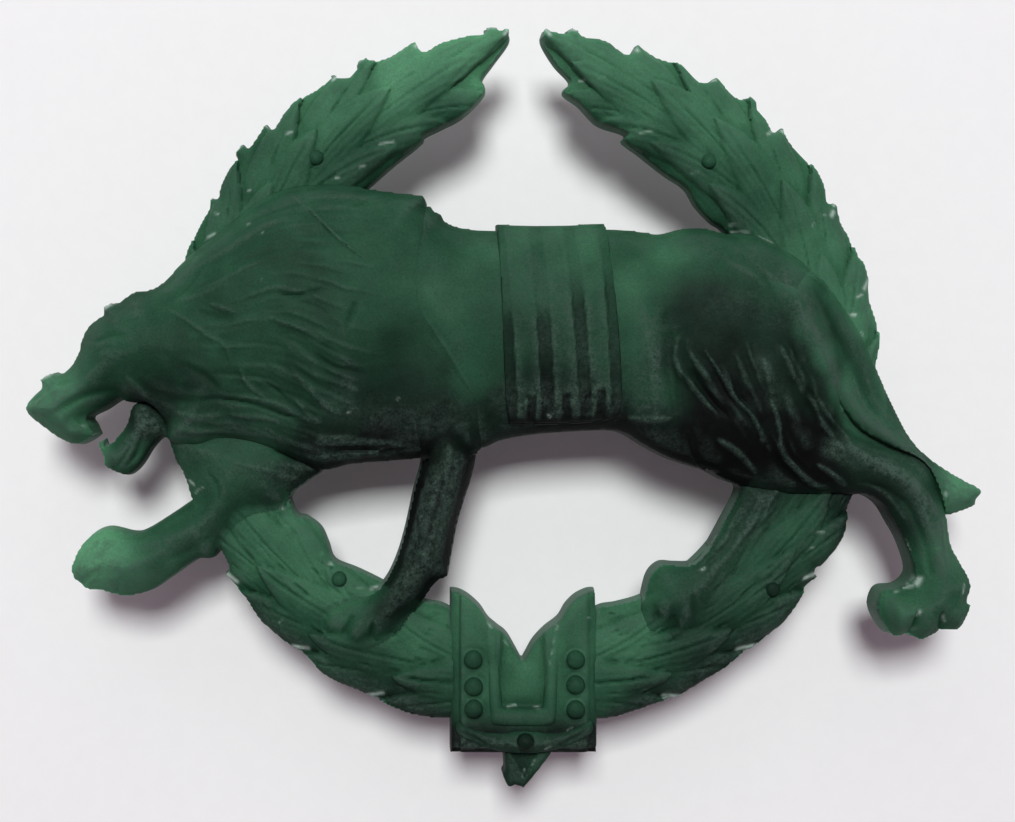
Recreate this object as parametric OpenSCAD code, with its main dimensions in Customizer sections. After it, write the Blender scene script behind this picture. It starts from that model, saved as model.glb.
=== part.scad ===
// Cap badge: a striding maned beast over an open laurel wreath, with a studded tie plate at its foot.
// Frame: origin at the centre of the wreath on the flat back, +X to the right, +Y up, +Z out of the face.
// Relief pieces are stacked slabs. Where one crosses another they are halved together:
// the wreath keeps the depth from 0 to wreath_lap, the body from there to body_lap, the limbs the rest.

/* [Badge] */
// Overall width of the badge
badge_w = 50; // [45:0.5:55]
// Height of the laurel wreath
wreath_h = 2.2; // [2:0.1:2.6]
// Height of the wreath where the beast and the tie plate cross it
wreath_lap = 1.2; // [0.8:0.1:1.4]
// Height of the beast's body under the limbs, the tail and the band
body_lap = 2.4; // [2:0.1:2.8]
// Height of the girth band, the highest piece
band_h = 5.2; // [5:0.1:6]

/* [Tie plate] */
// Height of the tie plate
plate_h = 2.2; // [1.8:0.1:2.6]
// Radius of a stud on the tie plate
stud_r = 0.5; // [0.35:0.05:0.6]
// Rise of a stud above what it sits on
stud_rise = 0.5; // [0.3:0.1:0.8]

/* [Fixings] */
// Distance between the two lugs
lug_spacing = 29; // [28.5:0.5:29.5]
// Radius of a lug's round shank
lug_r = 1.6; // [1.5:0.05:1.8]
// Depth of a lug behind the badge
lug_depth = 5.4; // [5.2:0.1:6]
// Radius of a lug's eye
eye_r = 0.9; // [0.85:0.05:0.95]
// Radius of the split pin's two legs together
pin_r = 0.55; // [0.45:0.05:0.6]

/* [Hidden] */
$fn = 48;

wax = [0.20, 0.42, 0.30];
wax_light = [0.30, 0.55, 0.40];
wax_deep = [0.12, 0.27, 0.19];
brass = [0.78, 0.62, 0.30];

// Outlines are drawn for a badge 50 mm wide and scaled to badge_w.
k = badge_w / 50;
// More than any height here, for cutting tools.
clear_z = 20;

// Foreleg, hind leg and head rise in three steps each above body_lap.
face_h = 3.2;
crown_h = 4.2;
crest_h = 4.8;
limb_h = 3.0;
paw_h = 3.4;

// The housing for a lug's flange in the back, and the spigot that ties wreath and body together.
flange_t = 0.5;
flange_r = 2.4;
spigot_r = 0.8;
spigot_top = body_lap - 0.2;
lug_y = 3;
shank_l = 2.0;
eye_half_t = 0.7;
eye_half_w = lug_r - 0.2;
eye_z = -lug_depth + eye_half_w;
pin_gap = 0.12;
ring_wire_r = 0.4;
ring_r = 1.1;
pin_from = -lug_spacing / 2 - 3.2;
pin_to = lug_spacing / 2 + 1.6;

// A closed smooth curve through the points of p, with n steps from each point to the next.
function blend_at(a, b, c, d, t) =
    0.5 * (2 * b + (c - a) * t + (2 * a - 5 * b + 4 * c - d) * t * t + (3 * b - a - 3 * c + d) * t * t * t);
function smooth_curve(p, n = 4) = [
    for (i = [0 : len(p) - 1])
        for (j = [0 : n - 1])
            blend_at(p[(i + len(p) - 1) % len(p)], p[i], p[(i + 1) % len(p)], p[(i + 2) % len(p)], j / n)
];

// Left branch of the wreath: leaf tips along the outside, then the smoother inside.
left_branch = [
    [-0.8, 18.55], [-2.1, 18.5], [-4.4, 17.75], [-5.3, 17.35], [-5.7, 17.95], [-7.0, 17.15],
    [-8.9, 16.7], [-9.4, 15.95], [-10.05, 16.3], [-11.0, 15.3], [-12.4, 14.4], [-13.2, 13.3],
    [-13.65, 13.65], [-14.6, 12.3], [-15.0, 12.55], [-15.4, 11.4], [-16.1, 9.65], [-16.6, 9.7],
    [-17.2, 8.1], [-17.8, 6.4], [-18.4, 3.2], [-18.5, 0], [-18.2, -2.6], [-17.6, -4.6],
    [-16.9, -6.5], [-16.2, -8.2], [-15.5, -9.6], [-15.8, -10.3], [-14.7, -11.6],
    [-13.0, -13.6], [-12.2, -14.2], [-10.8, -15.2], [-9.3, -16.2], [-8.2, -16.7], [-6.7, -17.3],
    [-4.1, -17.8], [-0.4, -17.6], [-0.4, -15.4], [-2.6, -12.9], [-4.1, -11.9], [-5.1, -11.65],
    [-6.3, -11.2], [-7.8, -10.4], [-9.9, -9.4], [-10.7, -7.8], [-12.0, -6.8], [-12.8, -4.0],
    [-13.2, -1.0], [-13.0, 2.5], [-12.2, 5.2], [-10.6, 8.0], [-8.2, 10.2], [-6.3, 11.8],
    [-4.3, 13.3], [-2.1, 14.9], [-2.1, 15.8], [-1.4, 17.0], [-0.75, 17.9]
];
right_branch = [
    [1.0, 18.55], [2.6, 18.45], [4.3, 17.85], [5.4, 17.2], [6.0, 17.8], [7.0, 17.05],
    [8.6, 16.4], [9.4, 15.7], [10.2, 16.1], [11.55, 14.9], [12.6, 13.9], [13.15, 13.1],
    [13.7, 13.4], [14.6, 12.0], [15.8, 10.3], [16.0, 9.3], [16.55, 9.4], [17.1, 7.7],
    [18.05, 5.7], [18.25, 5.1], [18.6, 3.0], [18.7, 1.6], [18.5, 0.5], [18.8, -0.5],
    [18.6, -2.6], [18.0, -4.8], [17.1, -6.8], [16.5, -8.8], [15.8, -9.7], [15.6, -10.4],
    [14.5, -11.7], [12.9, -13.4], [12.0, -14.2], [10.6, -15.1], [9.3, -15.9], [8.1, -16.75],
    [5.9, -17.4], [4.0, -17.9], [0.2, -17.6], [0.2, -15.4], [2.5, -12.9], [3.9, -11.95],
    [5.0, -11.8], [6.4, -11.2], [8.2, -10.1], [9.9, -8.4], [11.2, -6.2], [12.4, -3.6],
    [13.1, -1.0], [13.1, 2.5], [12.2, 5.2], [10.7, 7.7], [9.1, 9.2], [8.2, 10.4],
    [5.4, 12.3], [3.6, 13.7], [2.1, 15.1], [2.3, 15.8], [1.6, 16.9], [0.95, 17.9]
];

// Head, upper jaw, mane and chest; its right edge is the mane's edge on the body.
head_line = [
    [-8.4, 10.05], [-6.8, 9.85], [-5.2, 9.65], [-5.2, 7.6], [-5.6, 5.2], [-5.2, 3.0],
    [-4.1, 1.1], [-3.3, 0], [-2.6, -1.0], [-2.35, -2.4], [-2.3, -3.7], [-4.0, -4.0],
    [-6.5, -4.25], [-9.0, -4.45], [-10.3, -4.75], [-11.2, -4.6], [-12.8, -3.9], [-14.2, -3.4],
    [-15.8, -3.2], [-17.2, -3.55], [-18.6, -3.2], [-18.8, -2.2], [-19.6, -1.3], [-20.8, -1.0],
    [-21.3, -1.1], [-22.0, -1.6], [-22.7, -2.0], [-22.4, -2.8], [-22.7, -3.15], [-23.4, -3.4],
    [-24.2, -3.15], [-25.0, -2.6], [-25.9, -1.85], [-26.05, -1.35], [-25.6, -0.75], [-25.2, -0.35],
    [-25.3, 0.05], [-24.7, 0.4], [-24.0, 0.5], [-23.5, 1.1], [-23.1, 2.0], [-22.6, 3.0],
    [-22.1, 3.6], [-21.6, 4.1], [-20.4, 4.6], [-19.3, 4.9], [-18.5, 5.5], [-17.95, 6.1],
    [-16.6, 7.2], [-15.2, 8.3], [-13.9, 9.3], [-12.4, 10.0], [-10.4, 10.2]
];
head_crown = [
    [-6.4, 8.6], [-6.7, 5.5], [-6.2, 2.6], [-4.9, 0], [-3.7, -1.6], [-4.2, -3.2],
    [-8.0, -3.6], [-12.0, -3.0], [-16.5, -2.4], [-18.2, -1.0], [-20.6, 0.2], [-22.0, 0.8],
    [-21.6, 2.6], [-19.5, 3.8], [-16.5, 5.8], [-13.4, 8.0], [-9.6, 8.9]
];
head_crest = [
    [-8.2, 6.6], [-7.8, 3.0], [-6.4, 0.4], [-6.0, -1.8], [-9.5, -2.6], [-14.0, -1.8],
    [-17.0, 0], [-17.4, 2.2], [-14.4, 5.0], [-11.4, 6.9]
];
jaw_line = [
    [-18.6, -3.2], [-19.2, -3.1], [-19.7, -3.7], [-20.2, -4.5], [-20.9, -5.0], [-21.7, -4.75],
    [-22.1, -4.4], [-22.2, -3.9], [-22.45, -3.4], [-22.2, -3.05], [-21.9, -3.4], [-21.3, -2.8],
    [-20.8, -2.0], [-20.75, -1.3], [-19.8, -1.1], [-18.8, -2.0]
];

// Barrel, back and rump, with the edge that goes under the haunch and the tail.
torso_line = [
    [-7.0, 8.4], [-5.6, 8.95], [-4.6, 8.8], [-4.1, 8.3], [-3.0, 7.95], [-1.6, 7.8],
    [1.4, 7.75], [4.3, 7.9], [7.0, 7.68], [9.0, 8.0], [10.5, 7.7], [12.0, 7.55],
    [13.4, 6.85], [14.7, 5.9], [15.5, 4.7], [16.3, 3.2], [17.1, 1.6], [17.6, 0],
    [17.7, -1.4], [17.2, -3.0], [16.0, -4.4], [14.0, -5.0], [11.6, -4.9], [9.6, -4.6],
    [8.2, -4.3], [7.0, -3.95], [6.0, -3.3], [4.8, -2.75], [2.5, -2.75], [0.5, -2.9],
    [-1.2, -3.25], [-2.4, -3.5], [-4.0, -3.2], [-6.0, -1.0], [-7.0, 3.0], [-7.4, 6.4]
];
torso_crown = [
    [-3.8, 6.9], [1.4, 6.9], [7.0, 6.8], [10.6, 6.5], [12.6, 5.5], [11.0, 3.6],
    [8.4, 1.0], [7.4, -2.2], [5.0, -2.0], [1.0, -1.9], [-1.2, -1.6], [-2.6, 1.2], [-3.8, 3.6]
];
torso_crest = [
    [-2.4, 5.6], [3.0, 5.7], [8.0, 5.4], [10.0, 4.6], [7.8, 2.0], [6.6, -0.6],
    [3.6, -1.0], [0.2, -0.8], [-1.6, 1.6]
];
band_line = [
    [-1.5, 8.15], [4.1, 8.2], [4.3, 6.2], [4.5, 4.2], [4.75, 1.4], [4.9, -1.1],
    [4.4, -1.9], [-0.9, -2.2], [-1.15, -1.0], [-1.35, 2.4], [-1.45, 5.2]
];
// Left and right edge of each sunk pleat between the band's ribs.
pleats = [[-1.0, 0.55], [0.85, 0.7], [2.6, 0.7]];

foreleg_line = [
    [-5.8, -1.0], [-4.4, -0.4], [-3.3, -0.8], [-2.8, -1.9], [-2.6, -3.9], [-2.9, -5.6],
    [-3.4, -7.5], [-3.8, -9.3], [-4.0, -10.3], [-5.1, -11.3], [-5.9, -12.3], [-6.6, -13.3],
    [-7.6, -13.9], [-9.0, -14.1], [-10.3, -13.6], [-10.8, -12.7], [-10.4, -11.8], [-9.4, -11.3],
    [-8.1, -11.1], [-7.2, -10.3], [-6.7, -9.2], [-6.25, -7.5], [-5.85, -5.7], [-5.5, -4.1],
    [-5.7, -2.6]
];
foreleg_crown = [
    [-5.2, -1.6], [-4.0, -1.4], [-3.4, -3.0], [-3.7, -5.6], [-4.5, -9.0], [-5.8, -11.6],
    [-7.2, -13.2], [-9.2, -13.3], [-9.9, -12.6], [-8.6, -11.9], [-7.2, -11.4], [-6.2, -9.8],
    [-5.4, -7.0], [-4.9, -4.2]
];
far_foreleg_line = [
    [-18.5, -2.6], [-18.4, -4.1], [-17.85, -5.1], [-17.5, -6.3], [-18.6, -7.05], [-19.9, -7.85],
    [-20.9, -8.0], [-22.0, -7.8], [-23.1, -8.4], [-23.8, -9.7], [-23.6, -10.5], [-23.0, -11.0],
    [-21.8, -11.2], [-20.7, -11.35], [-19.5, -11.0], [-18.4, -10.3], [-17.2, -9.5], [-16.3, -9.3],
    [-15.4, -8.0], [-14.2, -7.1], [-12.4, -6.5], [-11.6, -5.5], [-10.9, -4.2], [-12.8, -2.4],
    [-15.8, -1.8]
];
far_foreleg_crown = [
    [-17.0, -4.6], [-16.9, -6.6], [-19.6, -8.6], [-21.8, -8.5], [-22.9, -9.6], [-22.2, -10.4],
    [-20.4, -10.5], [-18.2, -9.3], [-16.4, -8.2], [-14.8, -6.4], [-13.2, -5.4], [-14.4, -4.6]
];
hind_leg_line = [
    [10.3, 5.2], [12.6, 5.1], [14.2, 4.4], [14.6, 2.8], [15.4, 1.0], [16.3, -0.8],
    [17.3, -2.3], [18.8, -3.2], [20.2, -3.8], [21.1, -4.5], [21.5, -5.7], [22.05, -7.2],
    [22.3, -8.6], [22.8, -9.5], [23.3, -10.7], [23.15, -11.5], [23.3, -11.8], [22.9, -12.7],
    [22.3, -13.1], [21.6, -13.1], [20.6, -13.55], [19.3, -13.4], [18.5, -12.6], [18.35, -11.5],
    [18.9, -10.8], [19.8, -10.6], [20.25, -9.9], [19.8, -8.5], [19.1, -7.2], [18.2, -6.2],
    [17.0, -6.0], [14.0, -6.0], [11.5, -5.6], [9.9, -5.0], [8.5, -3.9], [7.8, -1.2],
    [7.9, 1.2], [8.8, 3.6]
];
hind_leg_crown = [
    [10.6, 4.2], [12.8, 3.9], [13.9, 1.6], [15.0, -0.8], [16.4, -2.9], [18.8, -4.2],
    [20.4, -5.2], [21.0, -7.2], [21.5, -9.6], [22.3, -11.0], [21.9, -12.3], [20.2, -12.7],
    [19.3, -11.9], [20.4, -11.2], [21.0, -9.8], [20.4, -7.8], [19.2, -6.0], [17.2, -5.2],
    [13.6, -5.1], [10.6, -4.5], [9.3, -2.6], [9.0, 1.0]
];
far_hind_leg_line = [
    [11.0, -5.3], [11.2, -6.0], [10.4, -7.5], [9.5, -8.9], [8.8, -9.6], [7.2, -9.65],
    [6.5, -10.2], [6.2, -11.4], [6.2, -12.5], [6.7, -13.2], [7.3, -12.9], [7.8, -13.6],
    [8.7, -13.4], [9.6, -12.9], [10.1, -11.4], [11.3, -9.6], [12.7, -7.8], [13.9, -6.0],
    [13.4, -5.0]
];
far_hind_leg_crown = [
    [11.9, -6.3], [11.2, -7.8], [10.0, -9.6], [8.2, -10.3], [7.2, -10.6], [7.0, -12.2],
    [8.4, -12.8], [9.3, -12.2], [9.7, -11.0], [10.9, -9.1], [12.2, -7.5], [13.0, -6.2]
];
tail_line = [
    [13.9, 5.0], [15.0, 5.65], [16.7, 4.1], [17.8, 2.4], [18.5, 0.5], [19.1, -1.0],
    [20.0, -2.6], [20.9, -3.8], [22.2, -4.7], [23.5, -5.4], [23.9, -5.85], [23.5, -6.6],
    [22.6, -6.95], [21.5, -7.1], [20.8, -6.0], [20.4, -5.0], [19.4, -4.4], [18.0, -3.8],
    [16.7, -2.8], [15.7, -1.2], [14.8, 0.7], [14.0, 2.6], [13.6, 4.0]
];

tie_line = [
    [-3.9, -19.55], [3.8, -19.55], [3.75, -11.0], [3.3, -11.05], [2.7, -11.3], [2.2, -11.8],
    [1.7, -12.6], [1.0, -13.05], [0.45, -13.65], [0.1, -14.3], [-0.1, -14.7], [-0.45, -14.1],
    [-0.9, -13.35], [-1.4, -12.9], [-1.9, -12.5], [-2.3, -11.9], [-2.9, -11.35], [-3.4, -11.05],
    [-3.9, -11.0]
];
frame_line = [
    [-1.4, -17.95], [-1.8, -17.5], [-2.0, -15.0], [-2.1, -13.0], [-1.5, -13.1], [-1.35, -15.0],
    [-1.1, -17.05], [0.9, -17.05], [1.15, -15.0], [1.3, -13.1], [1.85, -13.0], [1.8, -15.0],
    [1.6, -17.5], [1.2, -17.95]
];
swag_line = [
    [-3.5, -17.8], [-2.6, -18.15], [-1.5, -18.3], [0, -18.2], [1.4, -18.3], [2.5, -18.1],
    [3.4, -17.7], [3.4, -18.5], [2.4, -19.0], [1.2, -19.35], [0, -19.45], [-1.3, -19.35],
    [-2.5, -19.0], [-3.5, -18.5]
];
tip_line = [
    [-1.15, -19.0], [1.45, -19.0], [1.45, -19.6], [0, -21.45], [-0.85, -21.35], [-1.15, -20.7]
];
stud_rows = [-14.6, -15.9, -17.1];
stud_x = 2.7;
centre_stud = [0, -18.75];
frame_rise = 0.5;
swag_rise = 0.6;
berry_places = [
    [-10.9, 11.6, 0.55], [-9.7, -10.4, 0.5], [9.6, 11.4, 0.5], [12.9, -10.9, 0.55]
];
berry_rise = 0.45;

// A slab of an outline between two heights.
module slab(outline, z0, z1) {
    translate([0, 0, z0])
        linear_extrude(z1 - z0)
            scale([k, k])
                polygon(outline);
}

// A round dome with a flat foot at z = 0.
module dome(r, rise) {
    cap_r = (r * r + rise * rise) / (2 * rise);
    intersection() {
        translate([0, 0, rise - cap_r]) sphere(cap_r);
        cylinder(r = r, h = rise);
    }
}

// What the beast covers on the wreath, from the wreath's lap up.
module beast_cover() {
    slab(smooth_curve(head_line), wreath_lap, clear_z);
    slab(smooth_curve(torso_line), wreath_lap, clear_z);
    slab(smooth_curve(foreleg_line), wreath_lap, clear_z);
    slab(smooth_curve(far_foreleg_line), wreath_lap, clear_z);
    slab(smooth_curve(hind_leg_line), wreath_lap, clear_z);
    slab(smooth_curve(far_hind_leg_line), wreath_lap, clear_z);
    slab(smooth_curve(tail_line), wreath_lap, clear_z);
    slab(tie_line, wreath_lap, clear_z);
}
// The channel that the two branches need in the back of what crosses them.
module wreath_channel() {
    slab(left_branch, -1, wreath_lap);
    slab(right_branch, -1, wreath_lap);
}
// The room that the body takes under the pieces that lie on it.
module body_room() {
    slab(smooth_curve(head_line), -1, body_lap);
    slab(smooth_curve(torso_line), -1, body_lap);
}
module lug_housing(x) {
    translate([x, lug_y, -1]) cylinder(r = flange_r, h = flange_t + 1);
    translate([x, lug_y, 0]) cylinder(r = spigot_r, h = spigot_top);
}

// One branch, high where its leaves show and thin where it is crossed.
module branch(outline, lug_x) {
    difference() {
        slab(outline, 0, wreath_h);
        beast_cover();
        lug_housing(lug_x);
    }
}
module wreath_left() {
    color(wax_light) branch(left_branch, -lug_spacing / 2);
}
module wreath_right() {
    color(wax_light) branch(right_branch, lug_spacing / 2);
}
module berries() {
    color(wax_light)
        for (b = berry_places)
            translate([b[0] * k, b[1] * k, wreath_h]) dome(b[2], berry_rise);
}

// The limbs' outlines above body_lap, cut from the head and the torso.
module limb_cover() {
    slab(smooth_curve(foreleg_line), body_lap, clear_z);
    slab(smooth_curve(hind_leg_line), body_lap, clear_z);
    slab(smooth_curve(tail_line), body_lap, clear_z);
    slab(band_line, body_lap + 1, clear_z);
}
module mane_head() {
    color(wax)
        difference() {
            union() {
                slab(smooth_curve(head_line), 0, face_h);
                slab(smooth_curve(head_crown), face_h, crown_h);
                slab(smooth_curve(head_crest), crown_h, crest_h);
            }
            slab(smooth_curve(jaw_line), -1, clear_z);
            wreath_channel();
            limb_cover();
            lug_housing(-lug_spacing / 2);
        }
}
module lower_jaw() {
    color(wax) slab(smooth_curve(jaw_line), 0, limb_h - 0.4);
}
module torso() {
    color(wax_deep)
        difference() {
            union() {
                slab(smooth_curve(torso_line), 0, face_h);
                slab(smooth_curve(torso_crown), face_h, crown_h);
                slab(smooth_curve(torso_crest), crown_h, crest_h);
            }
            slab(smooth_curve(head_line), -1, clear_z);
            wreath_channel();
            limb_cover();
            lug_housing(lug_spacing / 2);
        }
}
module girth_band() {
    pleat_depth = 0.4;
    color(wax)
        difference() {
            slab(band_line, 0.6, band_h);
            slab(smooth_curve(torso_line), 0, body_lap + 1);
            for (p = pleats)
                translate([p[0] * k, -2 * k, band_h - pleat_depth])
                    rotate([0, 0, 1.5]) cube([p[1] * k, 10.5 * k, 1]);
        }
}

// A limb that passes over the body and the wreath, with a crown along its middle.
module limb(outline, crown, low_h, high_h) {
    difference() {
        union() {
            slab(smooth_curve(outline), 0, low_h);
            slab(smooth_curve(crown), low_h, high_h);
        }
        body_room();
        wreath_channel();
    }
}
module near_foreleg() {
    color(wax_deep) limb(foreleg_line, foreleg_crown, paw_h, crown_h);
}
module near_hind_leg() {
    color(wax) limb(hind_leg_line, hind_leg_crown, paw_h, crown_h);
}
module far_foreleg() {
    color(wax_light)
        difference() {
            limb(far_foreleg_line, far_foreleg_crown, body_lap, limb_h);
            slab(smooth_curve(head_line), -1, clear_z);
            slab(smooth_curve(jaw_line), -1, clear_z);
        }
}
module far_hind_leg() {
    color(wax)
        difference() {
            limb(far_hind_leg_line, far_hind_leg_crown, body_lap, limb_h);
            slab(smooth_curve(torso_line), -1, clear_z);
            slab(smooth_curve(hind_leg_line), -1, clear_z);
        }
}
module tail() {
    color(wax_light)
        difference() {
            slab(smooth_curve(tail_line), 0, limb_h);
            slab(smooth_curve(hind_leg_line), -1, clear_z);
            body_room();
            wreath_channel();
        }
}

module tie_plate() {
    color(wax)
        difference() {
            slab(tie_line, 0, plate_h);
            wreath_channel();
            slab(smooth_curve(foreleg_line), -1, clear_z);
        }
}
module tie_frame() {
    color(wax_light) slab(frame_line, plate_h, plate_h + frame_rise);
}
module tie_swag() {
    color(wax_light) slab(smooth_curve(swag_line), plate_h, plate_h + swag_rise);
}
module tie_studs() {
    color(wax) {
        for (side = [-1, 1])
            for (y = stud_rows)
                translate([side * stud_x * k, y * k, plate_h]) dome(stud_r, stud_rise);
        translate([centre_stud[0] * k, centre_stud[1] * k, plate_h + swag_rise])
            dome(stud_r * 0.9, stud_rise);
    }
}
module strap_tip() {
    color(wax_deep)
        difference() {
            slab(tip_line, 0, plate_h - 0.4);
            slab(tie_line, -1, clear_z);
        }
}

// The lug's eye: a flat tongue, narrower than the shank, with a rounded end and a hole along X.
module lug_eye() {
    difference() {
        union() {
            translate([-eye_half_t, -eye_half_w, eye_z])
                cube([2 * eye_half_t, 2 * eye_half_w, -eye_z - shank_l]);
            translate([-eye_half_t, 0, eye_z])
                rotate([0, 90, 0]) cylinder(r = eye_half_w, h = 2 * eye_half_t);
        }
        translate([-lug_r, 0, eye_z]) rotate([0, 90, 0]) cylinder(r = eye_r, h = 2 * lug_r);
    }
}
// Round shank through the cloth and its eye, with a flange and a spigot let into the back.
module lug(x) {
    translate([x, lug_y, 0])
        color(brass)
            union() {
                cylinder(r = flange_r, h = flange_t);
                cylinder(r = spigot_r, h = spigot_top);
                translate([0, 0, -shank_l]) cylinder(r = lug_r, h = shank_l);
                lug_eye();
            }
}
module lug_left() {
    lug(-lug_spacing / 2);
}
module lug_right() {
    lug(lug_spacing / 2);
}

// Two half-round legs that meet in a ring at the right-hand end.
module split_pin() {
    translate([0, lug_y, eye_z])
        color(brass)
            difference() {
                union() {
                    translate([pin_from, 0, 0])
                        rotate([0, 90, 0]) cylinder(r = pin_r, h = pin_to - pin_from);
                    translate([pin_to + ring_r - ring_wire_r / 2, 0, 0])
                        rotate_extrude() translate([ring_r, 0]) circle(r = ring_wire_r);
                }
                translate([pin_from - 1, -pin_gap / 2, -pin_r - 1])
                    cube([pin_to - pin_from + ring_r - ring_wire_r, pin_gap, 2 * pin_r + 2]);
            }
}

wreath_left();
wreath_right();
berries();
mane_head();
lower_jaw();
torso();
girth_band();
near_foreleg();
far_foreleg();
near_hind_leg();
far_hind_leg();
tail();
tie_plate();
tie_frame();
tie_swag();
tie_studs();
strap_tip();
lug_left();
lug_right();
split_pin();
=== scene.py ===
"""Cap badge in green carving wax: a striding maned beast over an open laurel wreath with a tie plate.

Every relief piece is sculpted as a height over the badge's flat back: an outline, a height function and a
bottom function, turned into one closed mesh. Sculpting is done in millimetres in the CAD frame (origin at
the wreath's centre on the back, +X right, +Y up, +Z out of the face), and meshes are made in metres.
"""
import bpy
import math
import numpy as np
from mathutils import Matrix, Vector


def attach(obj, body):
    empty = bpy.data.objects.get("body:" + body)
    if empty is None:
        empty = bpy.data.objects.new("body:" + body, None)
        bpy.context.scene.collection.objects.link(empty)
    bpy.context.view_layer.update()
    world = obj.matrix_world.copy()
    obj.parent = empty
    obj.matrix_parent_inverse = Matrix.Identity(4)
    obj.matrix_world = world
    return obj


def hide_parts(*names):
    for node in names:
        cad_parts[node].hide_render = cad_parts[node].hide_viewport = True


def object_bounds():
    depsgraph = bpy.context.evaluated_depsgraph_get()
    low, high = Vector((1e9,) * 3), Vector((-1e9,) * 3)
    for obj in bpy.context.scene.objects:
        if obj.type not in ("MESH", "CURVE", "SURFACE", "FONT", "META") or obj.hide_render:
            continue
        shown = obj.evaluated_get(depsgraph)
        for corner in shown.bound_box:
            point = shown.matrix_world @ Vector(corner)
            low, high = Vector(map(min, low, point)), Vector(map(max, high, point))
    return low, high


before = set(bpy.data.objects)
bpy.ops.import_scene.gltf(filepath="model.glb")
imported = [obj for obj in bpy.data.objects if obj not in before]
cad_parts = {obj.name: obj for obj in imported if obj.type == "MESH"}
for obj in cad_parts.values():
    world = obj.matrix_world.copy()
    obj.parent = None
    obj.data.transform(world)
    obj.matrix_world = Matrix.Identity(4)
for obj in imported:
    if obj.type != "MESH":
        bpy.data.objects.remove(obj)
cad_box = [list(corner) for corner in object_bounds()]

MM = 0.001
STEP = 0.104      # sculpting grid
TUCK = 0.2                 # how far a piece reaches under the one that covers it
WREATH_LAP = 1.2           # the wreath's height where it is crossed
BODY_LAP = 2.4             # the body's height under the limbs
BAND_SEAT = 3.4            # the torso's height under the band
PLATE_TOP = 2.2
PLATE_SEAT = PLATE_TOP - 0.5
FLARE = 0.1                # how far a side wall leans out at its foot
TIE_FLARE = 0.05
WIDE_WALL = 2.6            # how much farther it leans out where light shows through it
LIFT = 0.004               # keeps a covering surface just above the covered one
LEAF_BLEND = 0.12          # how softly a surface flows out of the leaves
BODY_BLEND = 0.2           # how softly a limb grows out of the body
SINK = 0.022               # a covering rim dips this far into the covered surface
SINK_WIDTH = 0.15          # the width of that dip
CLEARED = 0.025            # a covered surface lies this much lower than the one over it
CHUNK = 4000               # points measured at a time, to spare memory

# ---------------------------------------- outlines, in mm; a third value of 1 is a sharp corner
HEAD_LINE = [
    (-8.4, 10.05), (-6.8, 9.85), (-5.3, 9.7, 1), (-5.1, 9.2), (-5.25, 7.6), (-5.6, 5.2), (-5.2, 3.0),
    (-4.1, 1.1), (-3.3, 0), (-2.6, -1.0), (-2.35, -2.4), (-2.3, -3.7), (-4.0, -4.0), (-6.5, -4.25),
    (-9.0, -4.45), (-10.3, -4.75), (-11.2, -4.6), (-12.8, -3.9), (-14.2, -3.4), (-15.8, -3.2),
    (-17.2, -3.55), (-18.6, -3.2), (-18.8, -2.2), (-19.6, -1.3), (-20.75, -1.2), (-21.2, -1.05),
    (-22.0, -1.55), (-22.75, -1.95), (-22.6, -2.3), (-22.35, -2.85, 1), (-22.75, -3.15), (-23.4, -3.42),
    (-24.2, -3.15), (-25.0, -2.6), (-25.9, -1.85), (-26.05, -1.35), (-25.6, -0.75), (-25.2, -0.35),
    (-25.4, 0.05, 1), (-24.75, 0.43, 1), (-24.4, 0.33), (-23.85, 0.6), (-23.5, 1.1), (-23.25, 1.65),
    (-23.2, 2.0), (-22.85, 2.75), (-22.3, 3.25), (-22.0, 3.45), (-22.12, 3.78, 1), (-21.5, 4.15, 1),
    (-21.25, 4.05), (-20.4, 4.63), (-19.4, 4.82), (-18.7, 5.3), (-17.95, 6.1), (-16.6, 7.2), (-15.2, 8.3),
    (-13.9, 9.3), (-12.4, 10.0), (-10.4, 10.2),
]
JAW_LINE = [
    (-18.6, -3.2), (-19.05, -3.05), (-19.6, -3.6), (-20.1, -4.4), (-20.55, -4.88), (-21.0, -5.05),
    (-21.6, -4.85), (-21.95, -4.65), (-22.15, -4.45), (-22.2, -4.0), (-22.45, -3.35), (-22.15, -3.05, 1),
    (-21.95, -3.42), (-21.4, -2.95), (-20.95, -2.3), (-20.72, -1.5), (-20.3, -1.1), (-19.6, -1.2),
    (-18.7, -2.2),
]
TORSO_LINE = [
    (-7.0, 8.4), (-5.6, 8.95), (-4.95, 9.15), (-4.7, 8.85), (-4.35, 8.7), (-4.1, 8.3), (-3.3, 8.0),
    (-1.8, 7.85), (1.4, 7.8), (4.3, 7.93), (6.0, 7.8), (7.0, 7.68), (8.2, 7.95), (9.3, 7.98), (10.5, 7.7),
    (12.0, 7.55), (13.4, 6.85), (14.7, 5.9), (15.5, 4.6), (16.2, 3.1), (16.6, 1.6), (16.7, 0), (16.5, -1.6),
    (16.2, -3.2), (15.4, -4.5), (14.0, -5.0), (11.6, -4.9), (9.6, -4.75), (8.4, -4.45), (7.2, -4.0),
    (6.1, -3.4), (5.2, -2.85), (4.3, -2.68), (2.5, -2.75), (0.5, -2.9), (-1.2, -3.2), (-2.3, -3.6),
    (-4.0, -3.2), (-6.0, -1.0), (-7.0, 3.0), (-7.4, 6.4),
]
BAND_LINE = [
    (-1.5, 8.15, 1), (0.5, 8.1), (2.4, 8.12), (4.15, 8.2, 1), (4.3, 6.2), (4.5, 4.2), (4.75, 1.4),
    (4.9, -1.1, 1), (4.4, -2.0), (1.8, -2.3), (-0.9, -2.3, 1), (-1.15, -1.0), (-1.35, 2.4), (-1.45, 5.2),
]
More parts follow.
